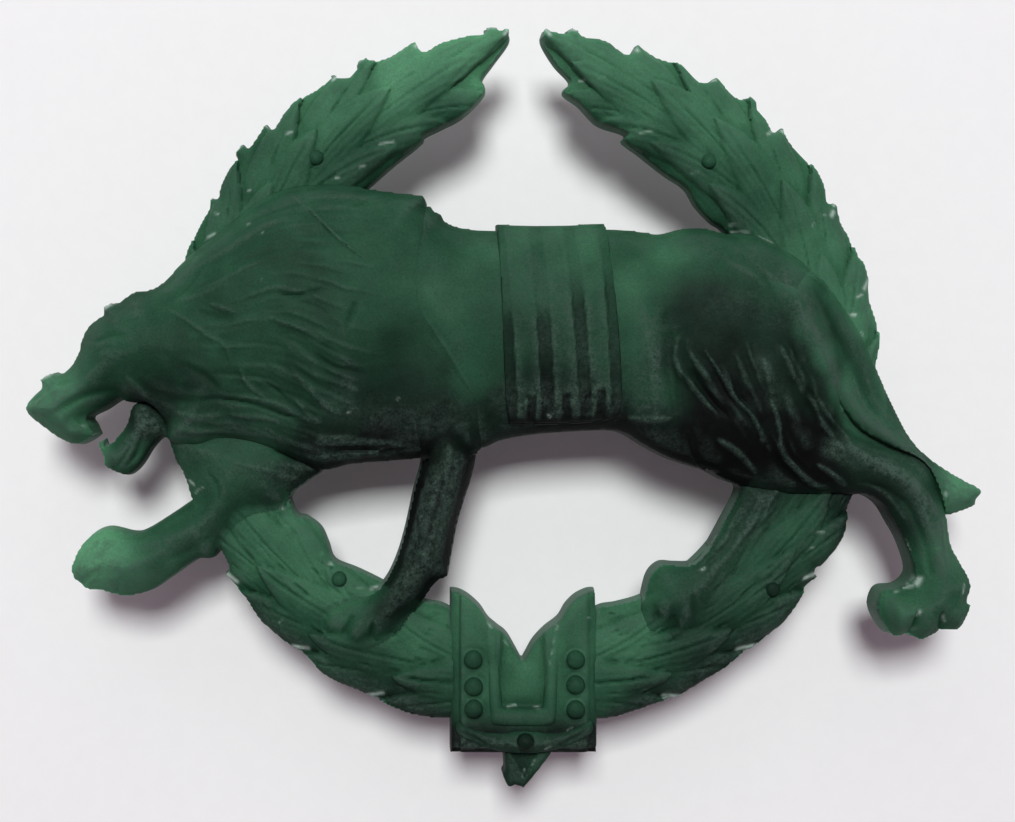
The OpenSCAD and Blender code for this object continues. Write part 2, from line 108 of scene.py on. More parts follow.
FORELEG_LINE = [
    (-5.8, -1.0), (-4.4, -0.4), (-3.3, -0.8), (-2.8, -1.9), (-2.5, -3.8), (-2.75, -5.2), (-3.1, -6.3),
    (-3.5, -7.7), (-3.8, -9.3), (-3.98, -10.35, 1), (-4.6, -10.65), (-5.2, -11.5), (-5.9, -12.4),
    (-6.6, -13.3), (-7.6, -13.9), (-9.0, -14.1), (-10.3, -13.6), (-10.8, -12.7), (-10.4, -11.8),
    (-9.4, -11.3), (-8.1, -11.15), (-7.35, -10.5), (-6.75, -9.3), (-6.3, -7.8), (-5.85, -5.75),
    (-5.45, -4.1), (-5.7, -2.6),
]
FAR_FORELEG_LINE = [
    (-18.5, -2.6), (-18.45, -4.0), (-17.9, -4.95), (-17.8, -5.3), (-17.5, -6.3, 1), (-18.6, -7.05),
    (-19.9, -7.85), (-20.6, -8.0), (-22.0, -7.75), (-23.1, -8.4), (-23.8, -9.75), (-23.65, -10.45),
    (-23.35, -10.68), (-23.1, -10.95), (-22.8, -11.05), (-22.2, -11.1), (-21.0, -11.4), (-19.7, -11.15),
    (-18.6, -10.45), (-17.2, -9.5), (-16.3, -9.35), (-15.4, -8.0), (-14.2, -7.1), (-12.6, -6.75),
    (-12.1, -5.9), (-11.3, -5.3), (-10.6, -4.4), (-12.8, -2.4), (-15.8, -1.8),
]
HIND_LEG_LINE = [
    (10.3, 5.2), (12.6, 5.1), (14.2, 4.4), (14.6, 2.8), (15.4, 1.0), (16.3, -0.8), (17.3, -2.3),
    (18.8, -3.2), (20.2, -3.8), (21.1, -4.5), (21.6, -5.8), (22.05, -7.15), (22.25, -8.5), (22.75, -9.5),
    (23.2, -10.3), (23.3, -10.9), (23.1, -11.55), (23.35, -11.7, 1), (23.1, -12.35), (22.75, -12.95),
    (22.4, -13.12), (21.75, -13.12), (21.1, -13.45), (20.6, -13.6), (19.9, -13.3), (19.2, -13.42),
    (18.6, -12.7), (18.3, -11.9), (18.45, -11.2), (18.8, -10.85), (19.6, -10.75), (20.15, -10.3),
    (20.2, -9.7), (19.75, -8.4), (19.2, -7.4), (18.7, -6.6), (17.95, -6.1), (17.0, -6.0), (14.0, -6.0),
    (11.5, -5.6), (9.9, -5.0), (8.5, -3.9), (7.8, -1.2), (7.9, 1.2), (8.8, 3.6),
]
FAR_HIND_LEG_LINE = [
    (11.0, -5.2), (11.2, -5.8), (10.4, -7.4), (9.6, -8.8), (8.9, -9.55), (8.0, -9.62), (7.2, -9.6),
    (6.6, -10.1), (6.3, -11.0), (6.15, -12.2), (6.6, -13.2), (7.25, -12.9), (7.8, -13.6), (8.7, -13.4),
    (9.6, -12.9), (10.1, -11.4), (11.3, -9.6), (12.7, -7.8), (13.9, -6.0), (13.4, -5.0),
]
TAIL_LINE = [
    (13.9, 5.0), (15.0, 5.65), (16.0, 4.7), (16.9, 3.5), (17.7, 2.2), (18.2, 1.1), (18.8, -0.3),
    (19.4, -1.6), (20.1, -2.9), (20.85, -3.76), (21.9, -4.55), (23.0, -5.2), (23.6, -5.5), (23.9, -5.85),
    (23.6, -6.25), (23.5, -6.6), (22.8, -6.9), (22.0, -7.12), (21.4, -6.9), (20.8, -6.0), (20.4, -5.0),
    (19.4, -4.4), (18.0, -3.8), (16.7, -2.8), (15.7, -1.2), (14.8, 0.7), (14.0, 2.6), (13.6, 4.0),
]
LEFT_BRANCH = [
    (-0.8, 18.55, 1), (-1.3, 18.38), (-1.45, 18.66, 1), (-2.1, 18.64, 1), (-2.15, 18.2), (-3.0, 18.1),
    (-4.4, 17.75), (-5.3, 17.3), (-5.72, 17.95, 1), (-6.4, 17.5), (-7.0, 17.15), (-8.0, 16.85),
    (-8.25, 17.02, 1), (-8.85, 16.78, 1), (-8.85, 16.4), (-9.2, 15.95), (-9.8, 16.0), (-10.05, 16.28, 1),
    (-10.3, 15.9), (-11.0, 15.35), (-12.0, 14.75), (-12.7, 14.0), (-13.2, 13.25), (-13.65, 13.65, 1),
    (-14.1, 12.9), (-14.55, 12.33), (-14.9, 12.58, 1), (-15.3, 12.0, 1), (-15.2, 11.6), (-15.7, 10.9),
    (-16.05, 10.1), (-16.12, 9.62), (-16.58, 9.7, 1), (-16.7, 9.0), (-17.2, 8.1), (-17.6, 7.2),
    (-17.95, 6.1), (-18.4, 3.2), (-18.5, 0), (-18.2, -2.6), (-18.0, -4.6), (-17.88, -5.1, 1), (-17.6, -5.6),
    (-17.3, -6.5), (-16.4, -8.2), (-15.6, -9.8), (-15.85, -10.25, 1), (-15.3, -10.8), (-14.6, -11.6),
    (-13.9, -12.7), (-12.9, -13.65), (-12.2, -14.15, 1), (-11.4, -14.6), (-10.8, -15.3), (-10.2, -15.75),
    (-9.2, -16.25), (-8.2, -16.68, 1), (-7.4, -17.0), (-6.0, -17.6), (-4.1, -17.85), (-0.4, -17.6, 1),
    (-0.4, -15.4, 1), (-2.6, -12.9), (-4.1, -11.9), (-5.1, -11.65), (-6.3, -11.2), (-7.75, -10.45),
    (-8.8, -9.95), (-9.95, -9.45), (-10.3, -8.6), (-10.7, -7.75), (-11.4, -7.2), (-12.1, -6.75),
    (-12.8, -4.0), (-13.2, -1.0), (-13.0, 2.5), (-12.2, 5.2), (-10.6, 8.0), (-8.2, 10.15), (-6.9, 11.3),
    (-5.4, 12.5), (-5.2, 12.85), (-4.3, 13.3), (-3.2, 13.9), (-2.15, 14.95), (-2.0, 15.5), (-2.15, 15.9),
    (-1.6, 16.7), (-0.75, 17.9),
]
RIGHT_BRANCH = [
    (1.02, 18.55, 1), (1.5, 18.3), (2.2, 18.22), (2.22, 18.5, 1), (2.98, 18.42, 1), (3.05, 18.08),
    (4.3, 17.85), (5.4, 17.15), (6.0, 17.82, 1), (6.5, 17.4), (7.2, 17.0), (8.2, 16.65), (9.3, 15.65),
    (10.22, 16.08, 1), (10.6, 15.6), (11.1, 15.05), (11.6, 14.85), (11.75, 15.02, 1), (12.2, 14.7),
    (12.3, 14.2), (12.8, 13.6), (13.15, 13.05), (13.72, 13.4, 1), (14.0, 12.7), (14.6, 11.95), (15.3, 11.2),
    (15.8, 10.3), (15.98, 9.35), (16.55, 9.42, 1), (16.8, 8.3), (17.2, 7.6), (17.6, 6.5), (17.85, 6.3, 1),
    (18.1, 5.7), (18.25, 5.2, 1), (18.15, 4.8), (18.4, 3.9), (18.7, 2.9), (18.72, 1.9), (18.5, 0.56),
    (18.9, 0.04, 1), (18.75, -0.4), (18.6, -2.6), (18.0, -4.8), (17.15, -6.7), (16.9, -8.0), (16.45, -8.95),
    (15.7, -9.8), (15.35, -10.0), (15.6, -10.42, 1), (14.9, -10.9), (14.45, -11.7), (13.6, -12.9),
    (12.8, -13.6), (12.0, -14.22, 1), (11.4, -14.5), (10.5, -15.2), (9.3, -15.95), (8.6, -16.5),
    (8.1, -16.78, 1), (7.2, -16.95), (5.9, -17.4), (4.0, -17.9), (0.2, -17.6, 1), (0.2, -15.4, 1),
    (2.5, -12.9), (3.9, -11.98), (5.0, -11.75), (6.4, -11.3), (8.2, -10.1), (9.9, -8.4), (11.2, -6.2),
    (12.4, -3.6), (13.1, -1.0), (13.1, 2.5), (12.2, 5.2), (10.7, 7.7), (9.9, 8.35), (9.1, 9.2), (8.5, 10.15),
    (7.4, 10.9), (6.0, 12.0), (5.2, 12.6), (5.3, 13.0), (3.9, 13.5), (2.9, 14.5), (2.15, 15.05), (2.1, 15.4),
    (2.4, 15.8), (1.6, 16.7), (0.9, 17.9),
]
TIE_LINE = [
    (-3.9, -19.55, 1), (3.8, -19.55, 1), (3.82, -14.0), (3.75, -11.0, 1), (3.3, -11.05), (2.7, -11.35),
    (2.2, -11.85), (1.8, -12.5), (1.1, -13.05), (0.5, -13.7), (0.15, -14.3), (-0.1, -14.75, 1),
    (-0.45, -14.1), (-0.9, -13.35), (-1.45, -12.9), (-1.9, -12.5), (-2.3, -11.9), (-2.9, -11.35),
    (-3.4, -11.08), (-3.9, -10.98, 1), (-3.92, -15.0),
]
FRAME_LINE = [
    (-1.5, -18.0), (-1.85, -17.6), (-2.0, -15.0), (-2.05, -13.1), (-1.7, -12.95), (-1.45, -13.4),
    (-1.35, -15.0), (-1.15, -17.05, 1), (0.9, -17.05, 1), (1.1, -15.0), (1.3, -13.4), (1.55, -12.95),
    (1.8, -13.2), (1.75, -15.0), (1.65, -17.5), (1.3, -18.0), (-0.1, -18.05),
]
SWAG_LINE = [
    (-3.5, -17.8), (-2.6, -18.15), (-1.5, -18.3), (0, -18.2), (1.4, -18.3), (2.5, -18.1), (3.4, -17.7),
    (3.45, -18.45), (2.4, -19.0), (1.2, -19.35), (0, -19.45), (-1.3, -19.35), (-2.5, -19.0), (-3.5, -18.5),
]
TIP_LINE = [
    (-1.15, -19.3, 1), (1.45, -19.3, 1), (1.45, -19.62, 1), (0.7, -20.6), (-0.02, -21.46, 1), (-0.45, -21.3),
    (-0.85, -21.38), (-1.15, -20.75), (-1.05, -20.4),
]

STUDS = [
    (-2.7, -14.55), (-2.68, -15.95), (-2.68, -17.12), (2.62, -14.55), (2.62, -15.85), (2.62, -17.15),
]
CENTRE_STUD = (0.0, -18.75)
BERRIES = [              # with their radii
    (-10.9, 11.6, 0.42), (-9.7, -10.4, 0.4), (9.6, 11.4, 0.4), (12.9, -10.9, 0.42),
]


# ---------------------------------------- curves and shapes
def between(a, b, c, d, t):
    """A point on the smooth curve from b to c, whose neighbours are a and d."""
    return 0.5 * (2 * b + (c - a) * t + (2 * a - 5 * b + 4 * c - d) * t ** 2
                  + (3 * b - a - 3 * c + d) * t ** 3)


def smooth(points, steps=6):
    """A closed curve through the points, straight-sided only at sharp corners."""
    p = np.array([q[:2] for q in points], float)
    sharp = [len(q) == 3 for q in points]
    n = len(p)
    out = []
    for i in range(n):
        k = (i + 1) % n
        b, c = p[i], p[k]
        a = 2 * b - c if sharp[i] else p[i - 1]
        d = 2 * c - b if sharp[k] else p[(i + 2) % n]
        out += [between(a, b, c, d, t) for t in np.arange(steps) / steps]
    return np.array(out)


def open_curve(points, steps=8):
    """A smooth line through a few points, from the first to the last."""
    p = np.array(points, float)
    p = np.vstack([2 * p[0] - p[1], p, 2 * p[-1] - p[-2]])
    out = []
    for i in range(1, len(p) - 2):
        out += [between(*p[i - 1:i + 3], t) for t in np.arange(steps) / steps]
    out.append(p[-2])
    return np.array(out)


def inside(curve, x, y):
    """Which points lie inside a closed curve."""
    a, b = curve, np.roll(curve, -1, 0)
    hit = np.zeros(len(x), bool)
    for k in range(0, len(x), CHUNK):
        px, py = x[k:k + CHUNK, None], y[k:k + CHUNK, None]
        spans = (a[:, 1] > py) != (b[:, 1] > py)
        cross_x = a[:, 0] + (py - a[:, 1]) * (b[:, 0] - a[:, 0]) / (b[:, 1] - a[:, 1] + 1e-12)
        hit[k:k + CHUNK] = (spans & (px < cross_x)).sum(1) % 2 == 1
    return hit


def segments_of(line, closed=True):
    """The straight pieces of a line, each as (start x, start y, end x, end y)."""
    both = np.hstack([line, np.roll(line, -1, 0)])
    return both if closed else both[:-1]


def nearest(segments, x, y):
    """For each point: its distance to the segments, the nearest place on them, and how far along, 0 to 1."""
    start, run = segments[:, :2], segments[:, 2:] - segments[:, :2]
    run_squared = (run ** 2).sum(1) + 1e-12
    dist, qx, qy, along = (np.empty(len(x)) for _ in range(4))
    for k in range(0, len(x), CHUNK):
        px, py = x[k:k + CHUNK, None] - start[:, 0], y[k:k + CHUNK, None] - start[:, 1]
        t = np.clip((px * run[:, 0] + py * run[:, 1]) / run_squared, 0, 1)
        squared = (px - t * run[:, 0]) ** 2 + (py - t * run[:, 1]) ** 2
        best = squared.argmin(1)
        rows = np.arange(len(best))
        best_t = t[rows, best]
        dist[k:k + CHUNK] = np.sqrt(squared[rows, best])
        qx[k:k + CHUNK] = start[best, 0] + best_t * run[best, 0]
        qy[k:k + CHUNK] = start[best, 1] + best_t * run[best, 1]
        along[k:k + CHUNK] = (best + best_t) / len(start)
    return dist, qx, qy, along


class Shape:
    """A closed outline with a coarse map of how deep inside it each place lies (negative outside)."""
    CELL = 0.2
    PAD = 1.6

    def __init__(self, points):
        self.curve = smooth(points)
        self.segments = segments_of(self.curve)
        self.draw_map(lambda x, y: inside(self.curve, x, y))

    def draw_map(self, is_inside):
        self.low = self.segments[:, :2].min(0) - self.PAD
        span = self.segments[:, :2].max(0) + self.PAD - self.low
        count = np.ceil(span / self.CELL).astype(int) + 1
        gx, gy = (self.low[i] + self.CELL * np.arange(count[i]) for i in (0, 1))
        x, y = (g.ravel() for g in np.meshgrid(gx, gy))
        depth = nearest(self.segments, x, y)[0] * np.where(is_inside(x, y), 1, -1)
        self.map = depth.reshape(count[1], count[0])

    def depth(self, x, y):
        """The depth at each place, read between the map's cells."""
        u, v = (x - self.low[0]) / self.CELL, (y - self.low[1]) / self.CELL
        rows, cols = self.map.shape
        last_u, last_v = cols - 1.001, rows - 1.001
        off = (u < 0) | (v < 0) | (u > last_u) | (v > last_v)
        u, v = np.clip(u, 0, last_u), np.clip(v, 0, last_v)
        i, j = u.astype(int), v.astype(int)
        fu, fv = u - i, v - j
        near = self.map[j, i] * (1 - fu) + self.map[j, i + 1] * fu
        far = self.map[j + 1, i] * (1 - fu) + self.map[j + 1, i + 1] * fu
        return np.where(off, -self.PAD, near * (1 - fv) + far * fv)

    def deep(self, x, y):
        """The depth, or 0 outside."""
        return np.maximum(self.depth(x, y), 0)


def joined(one, two):
    """Two overlapping shapes taken as one."""
    both = Shape.__new__(Shape)
    both.segments = np.vstack([s.segments[other.depth(s.segments[:, 0], s.segments[:, 1]) < 0.02]
                               for s, other in ((one, two), (two, one))])
    both.draw_map(lambda x, y: inside(one.curve, x, y) | inside(two.curve, x, y))
    return both


HEAD = Shape(HEAD_LINE)
JAW = Shape(JAW_LINE)
TORSO = Shape(TORSO_LINE)
BODY = joined(HEAD, TORSO)
BAND = Shape(BAND_LINE)
FORELEG = Shape(FORELEG_LINE)
FAR_FORELEG = Shape(FAR_FORELEG_LINE)
HIND_LEG = Shape(HIND_LEG_LINE)
FAR_HIND_LEG = Shape(FAR_HIND_LEG_LINE)
TAIL = Shape(TAIL_LINE)
LEFT = Shape(LEFT_BRANCH)
RIGHT = Shape(RIGHT_BRANCH)
TIE = Shape(TIE_LINE)
FRAME = Shape(FRAME_LINE)
SWAG = Shape(SWAG_LINE)
TIP = Shape(TIP_LINE)
BRANCHES = [LEFT, RIGHT]
LIMBS_ON_BODY = [FORELEG, HIND_LEG, TAIL]
BEAST = [HEAD, JAW, TORSO, FORELEG, FAR_FORELEG, HIND_LEG, FAR_HIND_LEG, TAIL]


# ---------------------------------------- sculpting strokes
def ramp(v, low, high):
    """0 below low, 1 above high, smooth between."""
    t = np.clip((v - low) / (high - low), 0, 1)
    return t * t * (3 - 2 * t)


def soft_max(a, b, k):
    """The larger of two heights, with the crease between them rounded over by about k."""
    return 0.5 * (a + b + np.sqrt((a - b) ** 2 + k * k))


def dome(depth, soft):
    """Rises from 0 at an edge to 1 well inside it."""
    return 1 - np.exp(-depth / soft)


def turned(x, y, cx, cy, degrees):
    """Places seen from a centre, along and across a direction."""
    c, s = math.cos(math.radians(degrees)), math.sin(math.radians(degrees))
    return (x - cx) * c + (y - cy) * s, (y - cy) * c - (x - cx) * s


def bump(x, y, cx, cy, rx, ry, turn=0.0):
    """A round swelling of height 1 with radii rx and ry, turned by some degrees."""
    u, v = turned(x, y, cx, cy, turn)
    return np.exp(-(u / rx) ** 2 - (v / ry) ** 2)


def close_to(line, x, y, reach):
    """Which places are in the box round a line, with some reach on all sides."""
    low, high = line.min(0) - reach, line.max(0) + reach
    return (x > low[0]) & (x < high[0]) & (y > low[1]) & (y < high[1])


def stroke(x, y, points, width):
    """A ridge of height 1 along a smooth line, fading out and thinning at both ends."""
    line = open_curve(points)
    near = close_to(line, x, y, 3 * width)
    out = np.zeros_like(x)
    if near.any():
        dist, _, _, t = nearest(segments_of(line, closed=False), x[near], y[near])
        fade = np.clip(np.sin(np.pi * np.clip(t, 0.002, 0.998)), 0, 1) ** 0.5
        out[near] = np.exp(-(dist / (width * (0.35 + 0.65 * fade))) ** 2) * fade
    return out


def add_strokes(x, y, strokes):
    """The sum of strokes given as (width, height, points)."""
    z = np.zeros_like(x)
    for width, height, points in strokes:
        z += height * stroke(x, y, points, width)
    return z


NOISE_SIDE = 64
NOISE = np.random.default_rng(7).random((NOISE_SIDE, NOISE_SIDE))


def noise(x, y, size, shift=0.0):
    """Smooth noise from -1 to 1 with features of the given size in mm."""
    u, v = x / size + 31.7 + shift, y / size + 17.3 - shift
    i, j = np.floor(u).astype(int), np.floor(v).astype(int)
    fu, fv = u - i, v - j
    fu, fv = fu * fu * (3 - 2 * fu), fv * fv * (3 - 2 * fv)

    def row(b):
        left, right = NOISE[b % NOISE_SIDE, i % NOISE_SIDE], NOISE[b % NOISE_SIDE, (i + 1) % NOISE_SIDE]
        return left * (1 - fu) + right * fu

    return 2 * (row(j) * (1 - fv) + row(j + 1) * fv) - 1


def hand_worked(x, y):
    """The slight unevenness of wax that was shaped and rubbed down by hand."""
    return 0.035 * noise(x, y, 1.7) + 0.012 * noise(x, y, 0.6, 3.1) + 0.005 * noise(x, y, 0.25, 5.7)


def locks(families, count, seed, width, height):
    """Seeded strokes of hair: each runs between two neighbouring guide lines, somewhere along them."""
    rng = np.random.default_rng(seed)
    out = []
    for _ in range(count):
        k = rng.integers(0, len(families) - 1)
        mix, start = rng.random(), rng.uniform(0, 0.62)
        a, b = (open_curve(families[i], 12) for i in (k, k + 1))
        line = a * (1 - mix) + b * mix
        first = int(start * (len(line) - 1))
        last = min(len(line) - 1, first + int(rng.uniform(0.22, 0.42) * len(line)))
        line = line[first:last + 1:3]
        line = line + rng.normal(0, 0.05, (len(line), 2))
        if len(line) > 2:
            own_width = width * rng.uniform(0.7, 1.4)
            out.append((own_width, height * rng.uniform(0.5, 1.3) * rng.choice([1, 1, -1]), line))
    return out


# ---------------------------------------- the wreath's relief
RING_R = 16.0              # the branch's middle radius
LEAF_FLOOR = 1.45          # the branch's height between its leaves
TIP_SPACING = 14.5         # degrees round the ring from one outer leaf tip to the next
FIRST_TIP = 26.0
LEAF_ROWS = 11


def on_wreath(x, y):
    return np.maximum(LEFT.depth(x, y), RIGHT.depth(x, y)) > 0


def ring_angle(x, y, side):
    """Degrees along a branch from its foot at the bottom of the wreath to its end at the top."""
    return np.degrees(np.arctan2(side * x, -y))


def leaf(phi, rho, base, tip, rho_base, rho_tip, width, lift, low):
    """One laurel leaf as a height, low at its base, high and pointed at its tip; -1 outside it."""
    s = (phi - base) / (tip - base)
    on = (s > 0.002) & (s < 0.998)
    s = np.clip(s, 0.002, 0.998)
    centre = rho_base + (rho_tip - rho_base) * s ** 1.6
    half = width * s ** 0.5 * (1 - s) ** 0.8 / 0.405
    t = (rho - centre) / half
    on &= np.abs(t) < 1
    edge = half * (1 - np.abs(t))
    z = low + lift * s ** 1.2 + 0.16 * (1 - t ** 2) - 0.08 * np.exp(-edge / 0.08)
    z -= 0.07 * np.exp(-((t * half) / 0.07) ** 2)                                 # midrib
    z += 0.012 * np.cos(2 * np.pi * (np.abs(t) * half - 0.3 * s) / 0.34)          # veins
    return np.where(on, z, -1)


def leaf_plan(seed):
    """Where a branch's leaves lie: (base, tip, base radius, tip radius, half-width, lift, low)."""
    rng = np.random.default_rng(seed)

    def jitter(spread):
        return rng.normal(0, spread)

    plan = []
    for k in range(LEAF_ROWS):
        tip = FIRST_TIP + TIP_SPACING * k
        plan.append((tip - 27 + jitter(1), tip + 0.8 + jitter(1), 15.6, 16.9 + jitter(0.15),
                     1.25, 0.42, 1.62))
        plan.append((tip - 25 + jitter(1), tip, 16.4, 19.05, 1.15, 0.36, 1.52))
        plan.append((tip - 24 + jitter(1), tip + 9.5 + jitter(0.8), 15.2, 13.95 + jitter(0.1),
                     1.15, 0.34, 1.50))
    plan.append((148, 178.2, 16.2, 18.4, 1.5, 0.40, 1.66))
    return plan


LEAVES = {-1: leaf_plan(3), 1: leaf_plan(4)}


def cracks(rho, arc, y):
    """Fine torn lines along the branch, deepest in its lower half."""
    torn = noise(0.16 * arc, rho - 0.16 * arc, 0.20, 7.7)
    torn = torn + 0.5 * noise(0.3 * arc, rho - 0.1 * arc, 0.14, 2.9)
    return (0.05 + 0.10 * ramp(-y, 2, 10)) * np.clip(torn - 0.25, 0, 1)


def branch_top(side):
    """The height function of the left (-1) or right (1) branch."""
    shape = LEFT if side < 0 else RIGHT

    def top(x, y):
        phi, rho = ring_angle(x, y, side), np.hypot(x, y)
        z = np.full_like(x, LEAF_FLOOR)
        for plan in LEAVES[side]:
            z = np.maximum(z, leaf(phi, rho, *plan))
        z += 0.10 * np.clip(1 - ((rho - RING_R) / 3.0) ** 2, -1, 1)
        z -= 0.55 * np.exp(-shape.deep(x, y) / 0.35)
        return z - cracks(rho, np.radians(phi) * RING_R, y) + 0.6 * hand_worked(x, y)

    return top


def wreath_surface(x, y):
    """The height of the leaves where there are any, and far below elsewhere."""
    z = np.full_like(x, -1.0)
    on = on_wreath(x, y)
    for side in (-1, 1):
        here = on & (np.sign(x) == side)
        z[here] = branch_top(side)(x[here], y[here])
    return z


def over_wreath(x, y, z):
    """Lets a surface that crosses the wreath flow out of the leaves, with no groove beside them."""
    return soft_max(z, wreath_surface(x, y) + LIFT, LEAF_BLEND)


# ---------------------------------------- the beast's relief
MANE_FLOW = [
    [(-17.3, 6.4), (-13.2, 9.0), (-9.4, 9.9), (-5.6, 9.3)],
    [(-17.8, 4.8), (-12.8, 7.4), (-9.0, 7.6), (-5.8, 7.2)],
    [(-17.8, 3.4), (-12.6, 5.2), (-9.0, 4.6), (-6.2, 3.8)],
    [(-17.2, 2.2), (-12.4, 2.6), (-9.6, 1.2), (-6.6, 0.4)],
    [(-16.8, 0.6), (-13.0, 0.2), (-10.0, -1.2), (-7.2, -1.8)],
    [(-17.4, -1.3), (-13.6, -1.8), (-10.4, -2.8), (-6.8, -3.2)],
    [(-17.8, -2.8), (-14.2, -3.0), (-11.0, -4.0), (-7.0, -4.0)],
]
HAUNCH_FLOW = [
    [(7.4, 2.6), (7.6, 0.4), (9.4, -1.6), (10.6, -3.6)],
    [(9.2, 2.2), (10.2, -0.4), (11.6, -2.6), (12.8, -4.4)],
    [(11.4, 2.0), (12.4, -0.8), (13.4, -3.6), (15.4, -5.5)],
    [(13.2, 2.2), (14.4, -0.6), (15.8, -2.8), (18.2, -4.8)],
    [(14.6, 1.0), (16.0, -1.6), (18.2, -3.4), (20.6, -5.2)],
]
BELLY_FLOW = [
    [(-11.6, -3.0), (-9.4, -2.9), (-7.6, -3.0), (-6.0, -3.2)],
    [(-12.2, -4.4), (-9.6, -4.2), (-7.6, -4.1), (-6.0, -4.0)],
]
BRACED_FLOW = [
    [(13.8, -5.4), (12.6, -7.6), (11.2, -9.4), (9.9, -11.6)],
    [(12.6, -5.4), (11.4, -7.4), (10.0, -9.4), (8.8, -11.4)],
    [(11.4, -5.6), (10.4, -7.6), (9.2, -9.4), (7.6, -11.0)],
]
MANE_LOCKS = locks(MANE_FLOW, 120, 21, 0.13, 0.055)
HAUNCH_LOCKS = locks(HAUNCH_FLOW, 44, 5, 0.17, 0.085)
BELLY_LOCKS = locks(BELLY_FLOW, 16, 9, 0.1, 0.1)
BRACED_LOCKS = locks(BRACED_FLOW, 26, 13, 0.13, 0.1)

# (width, height, points): ridges are positive, creases negative.
HEAD_STROKES = [
    # lip
    (0.2, -0.13, [(-24.7, -2.1), (-23.7, -1.35), (-22.8, -0.85), (-21.8, -0.55), (-20.8, -0.55)]),
    (0.3, 0.12, [(-24.2, -2.3), (-23.2, -1.6), (-22.2, -1.1), (-21.2, -0.85)]),
    # mouth corner
    (0.26, -0.28, [(-20.9, -0.7), (-20.3, -1.1), (-19.6, -1.7), (-19.1, -2.3)]),
    (0.2, 0.22, [(-20.5, 0.15), (-20.0, -0.45), (-19.5, -1.1), (-19.0, -2.0)]),
    # cheek
    (0.26, -0.13, [(-19.9, 0.1), (-19.2, -0.6), (-18.2, -0.95), (-17.0, -1.05), (-15.7, -1.0)]),
    (0.18, 0.12, [(-18.2, -1.6), (-17.0, -1.9), (-15.4, -1.8)]),
    (0.16, 0.1, [(-18.4, -2.3), (-17.2, -2.7), (-15.6, -2.6)]),
    # brow
    (0.34, 0.07, [(-22.9, 2.1), (-22.0, 2.75), (-20.8, 3.3), (-19.4, 3.5)]),
    (0.2, -0.12, [(-22.2, 1.9), (-21.3, 2.25), (-20.3, 2.3)]),
    # eyelid
    (0.14, -0.07, [(-21.95, 1.45), (-21.5, 1.65), (-21.0, 1.55)]),
    # nostril
    (0.14, -0.16, [(-25.7, -1.15), (-25.3, -1.0), (-25.05, -0.7)]),
    (0.14, -0.1, [(-24.6, -0.6), (-24.0, -0.2), (-23.2, -0.1)]),
    # ruff
    (0.12, 0.1, [(-18.5, 3.7), (-17.3, 3.05), (-16.2, 2.25), (-15.3, 1.7), (-15.0, 0.7)]),
    # ear
    (0.24, 0.08, [(-19.1, 4.3), (-18.1, 4.8), (-17.2, 5.7), (-16.8, 6.5)]),
    (0.14, -0.07, [(-18.6, 3.9), (-17.6, 4.4), (-16.9, 5.2), (-16.4, 6.0)]),
]
MANE_STROKES = [
    (0.09, 0.15, [(-12.1, 9.5), (-11.3, 8.85), (-10.6, 8.2), (-9.8, 7.4), (-9.0, 6.7), (-8.2, 6.15)]),
    (0.08, -0.1, [(-9.3, 8.7), (-8.3, 9.15), (-7.2, 9.5)]),
    (0.08, -0.1, [(-8.7, 8.9), (-7.5, 9.15), (-6.3, 9.5)]),
    (0.12, 0.14, [(-16.2, 3.95), (-15.5, 3.68), (-14.8, 3.45)]),
    (0.24, -0.1, [(-16.8, 3.4), (-15.9, 3.2), (-14.8, 3.0)]),
    (0.1, 0.12, [(-13.2, 3.2), (-12.2, 2.85), (-11.1, 2.45)]),
    (0.12, -0.12, [(-12.8, 4.35), (-11.5, 4.3), (-10.1, 4.65)]),
    (0.2, -0.12, [(-8.7, 4.0), (-8.9, 3.3), (-9.2, 2.5)]),
    (0.55, 0.1, [(-9.3, 2.8), (-9.1, 1.2), (-9.0, -0.4), (-8.8, -1.6)]),
    (0.4, -0.09, [(-10.4, 2.0), (-10.2, 0.4), (-9.9, -1.0)]),
    (0.1, -0.14, [(-16.2, -0.9), (-14.6, -1.1), (-13.2, -1.5), (-12.4, -1.8), (-11.5, -1.85)]),
    (0.09, -0.1, [(-13.6, 0.1), (-12.8, -0.45), (-12.2, -1.0)]),
    (0.16, 0.12, [(-12.1, 0.7), (-11.0, -0.5), (-10.2, -1.3), (-9.3, -1.8)]),
    (0.12, 0.1, [(-11.9, -0.9), (-11.2, -1.7), (-10.4, -2.2)]),
    (0.12, 0.12, [(-14.6, 0.6), (-14.2, -0.2), (-13.2, -1.0)]),
    (0.09, 0.07, [(-5.4, 3.5), (-4.6, 2.3), (-3.95, 1.3), (-3.35, 0.3), (-2.7, -0.8)]),
    (0.1, 0.12, [(-11.2, -3.4), (-9.0, -3.25), (-6.2, -3.4)]),
    (0.09, 0.12, [(-11.4, -4.0), (-8.8, -3.85), (-6.2, -3.9)]),
    (0.1, -0.14, [(-10.6, -3.65), (-8.6, -3.6), (-6.4, -3.65)]),
    (0.22, -0.12, [(-17.4, 0.8), (-16.4, 0.2), (-15.6, -0.5)]),
]
FLANK_STROKES = [
    (0.45, 0.16, [(5.6, 4.2), (6.1, 2.4), (6.4, 0.6), (6.5, -1.4)]),
    (0.35, -0.24, [(6.9, 3.6), (7.15, 1.6), (7.35, -0.2), (7.6, -1.8)]),
    (0.16, 0.16, [(5.2, -1.9), (6.2, -2.05), (7.4, -1.95)]),
    (0.2, 0.12, [(10.0, 6.2), (11.2, 5.4), (12.2, 4.6)]),
    (0.16, 0.1, [(11.6, 5.9), (12.8, 4.9), (13.3, 3.9)]),
]
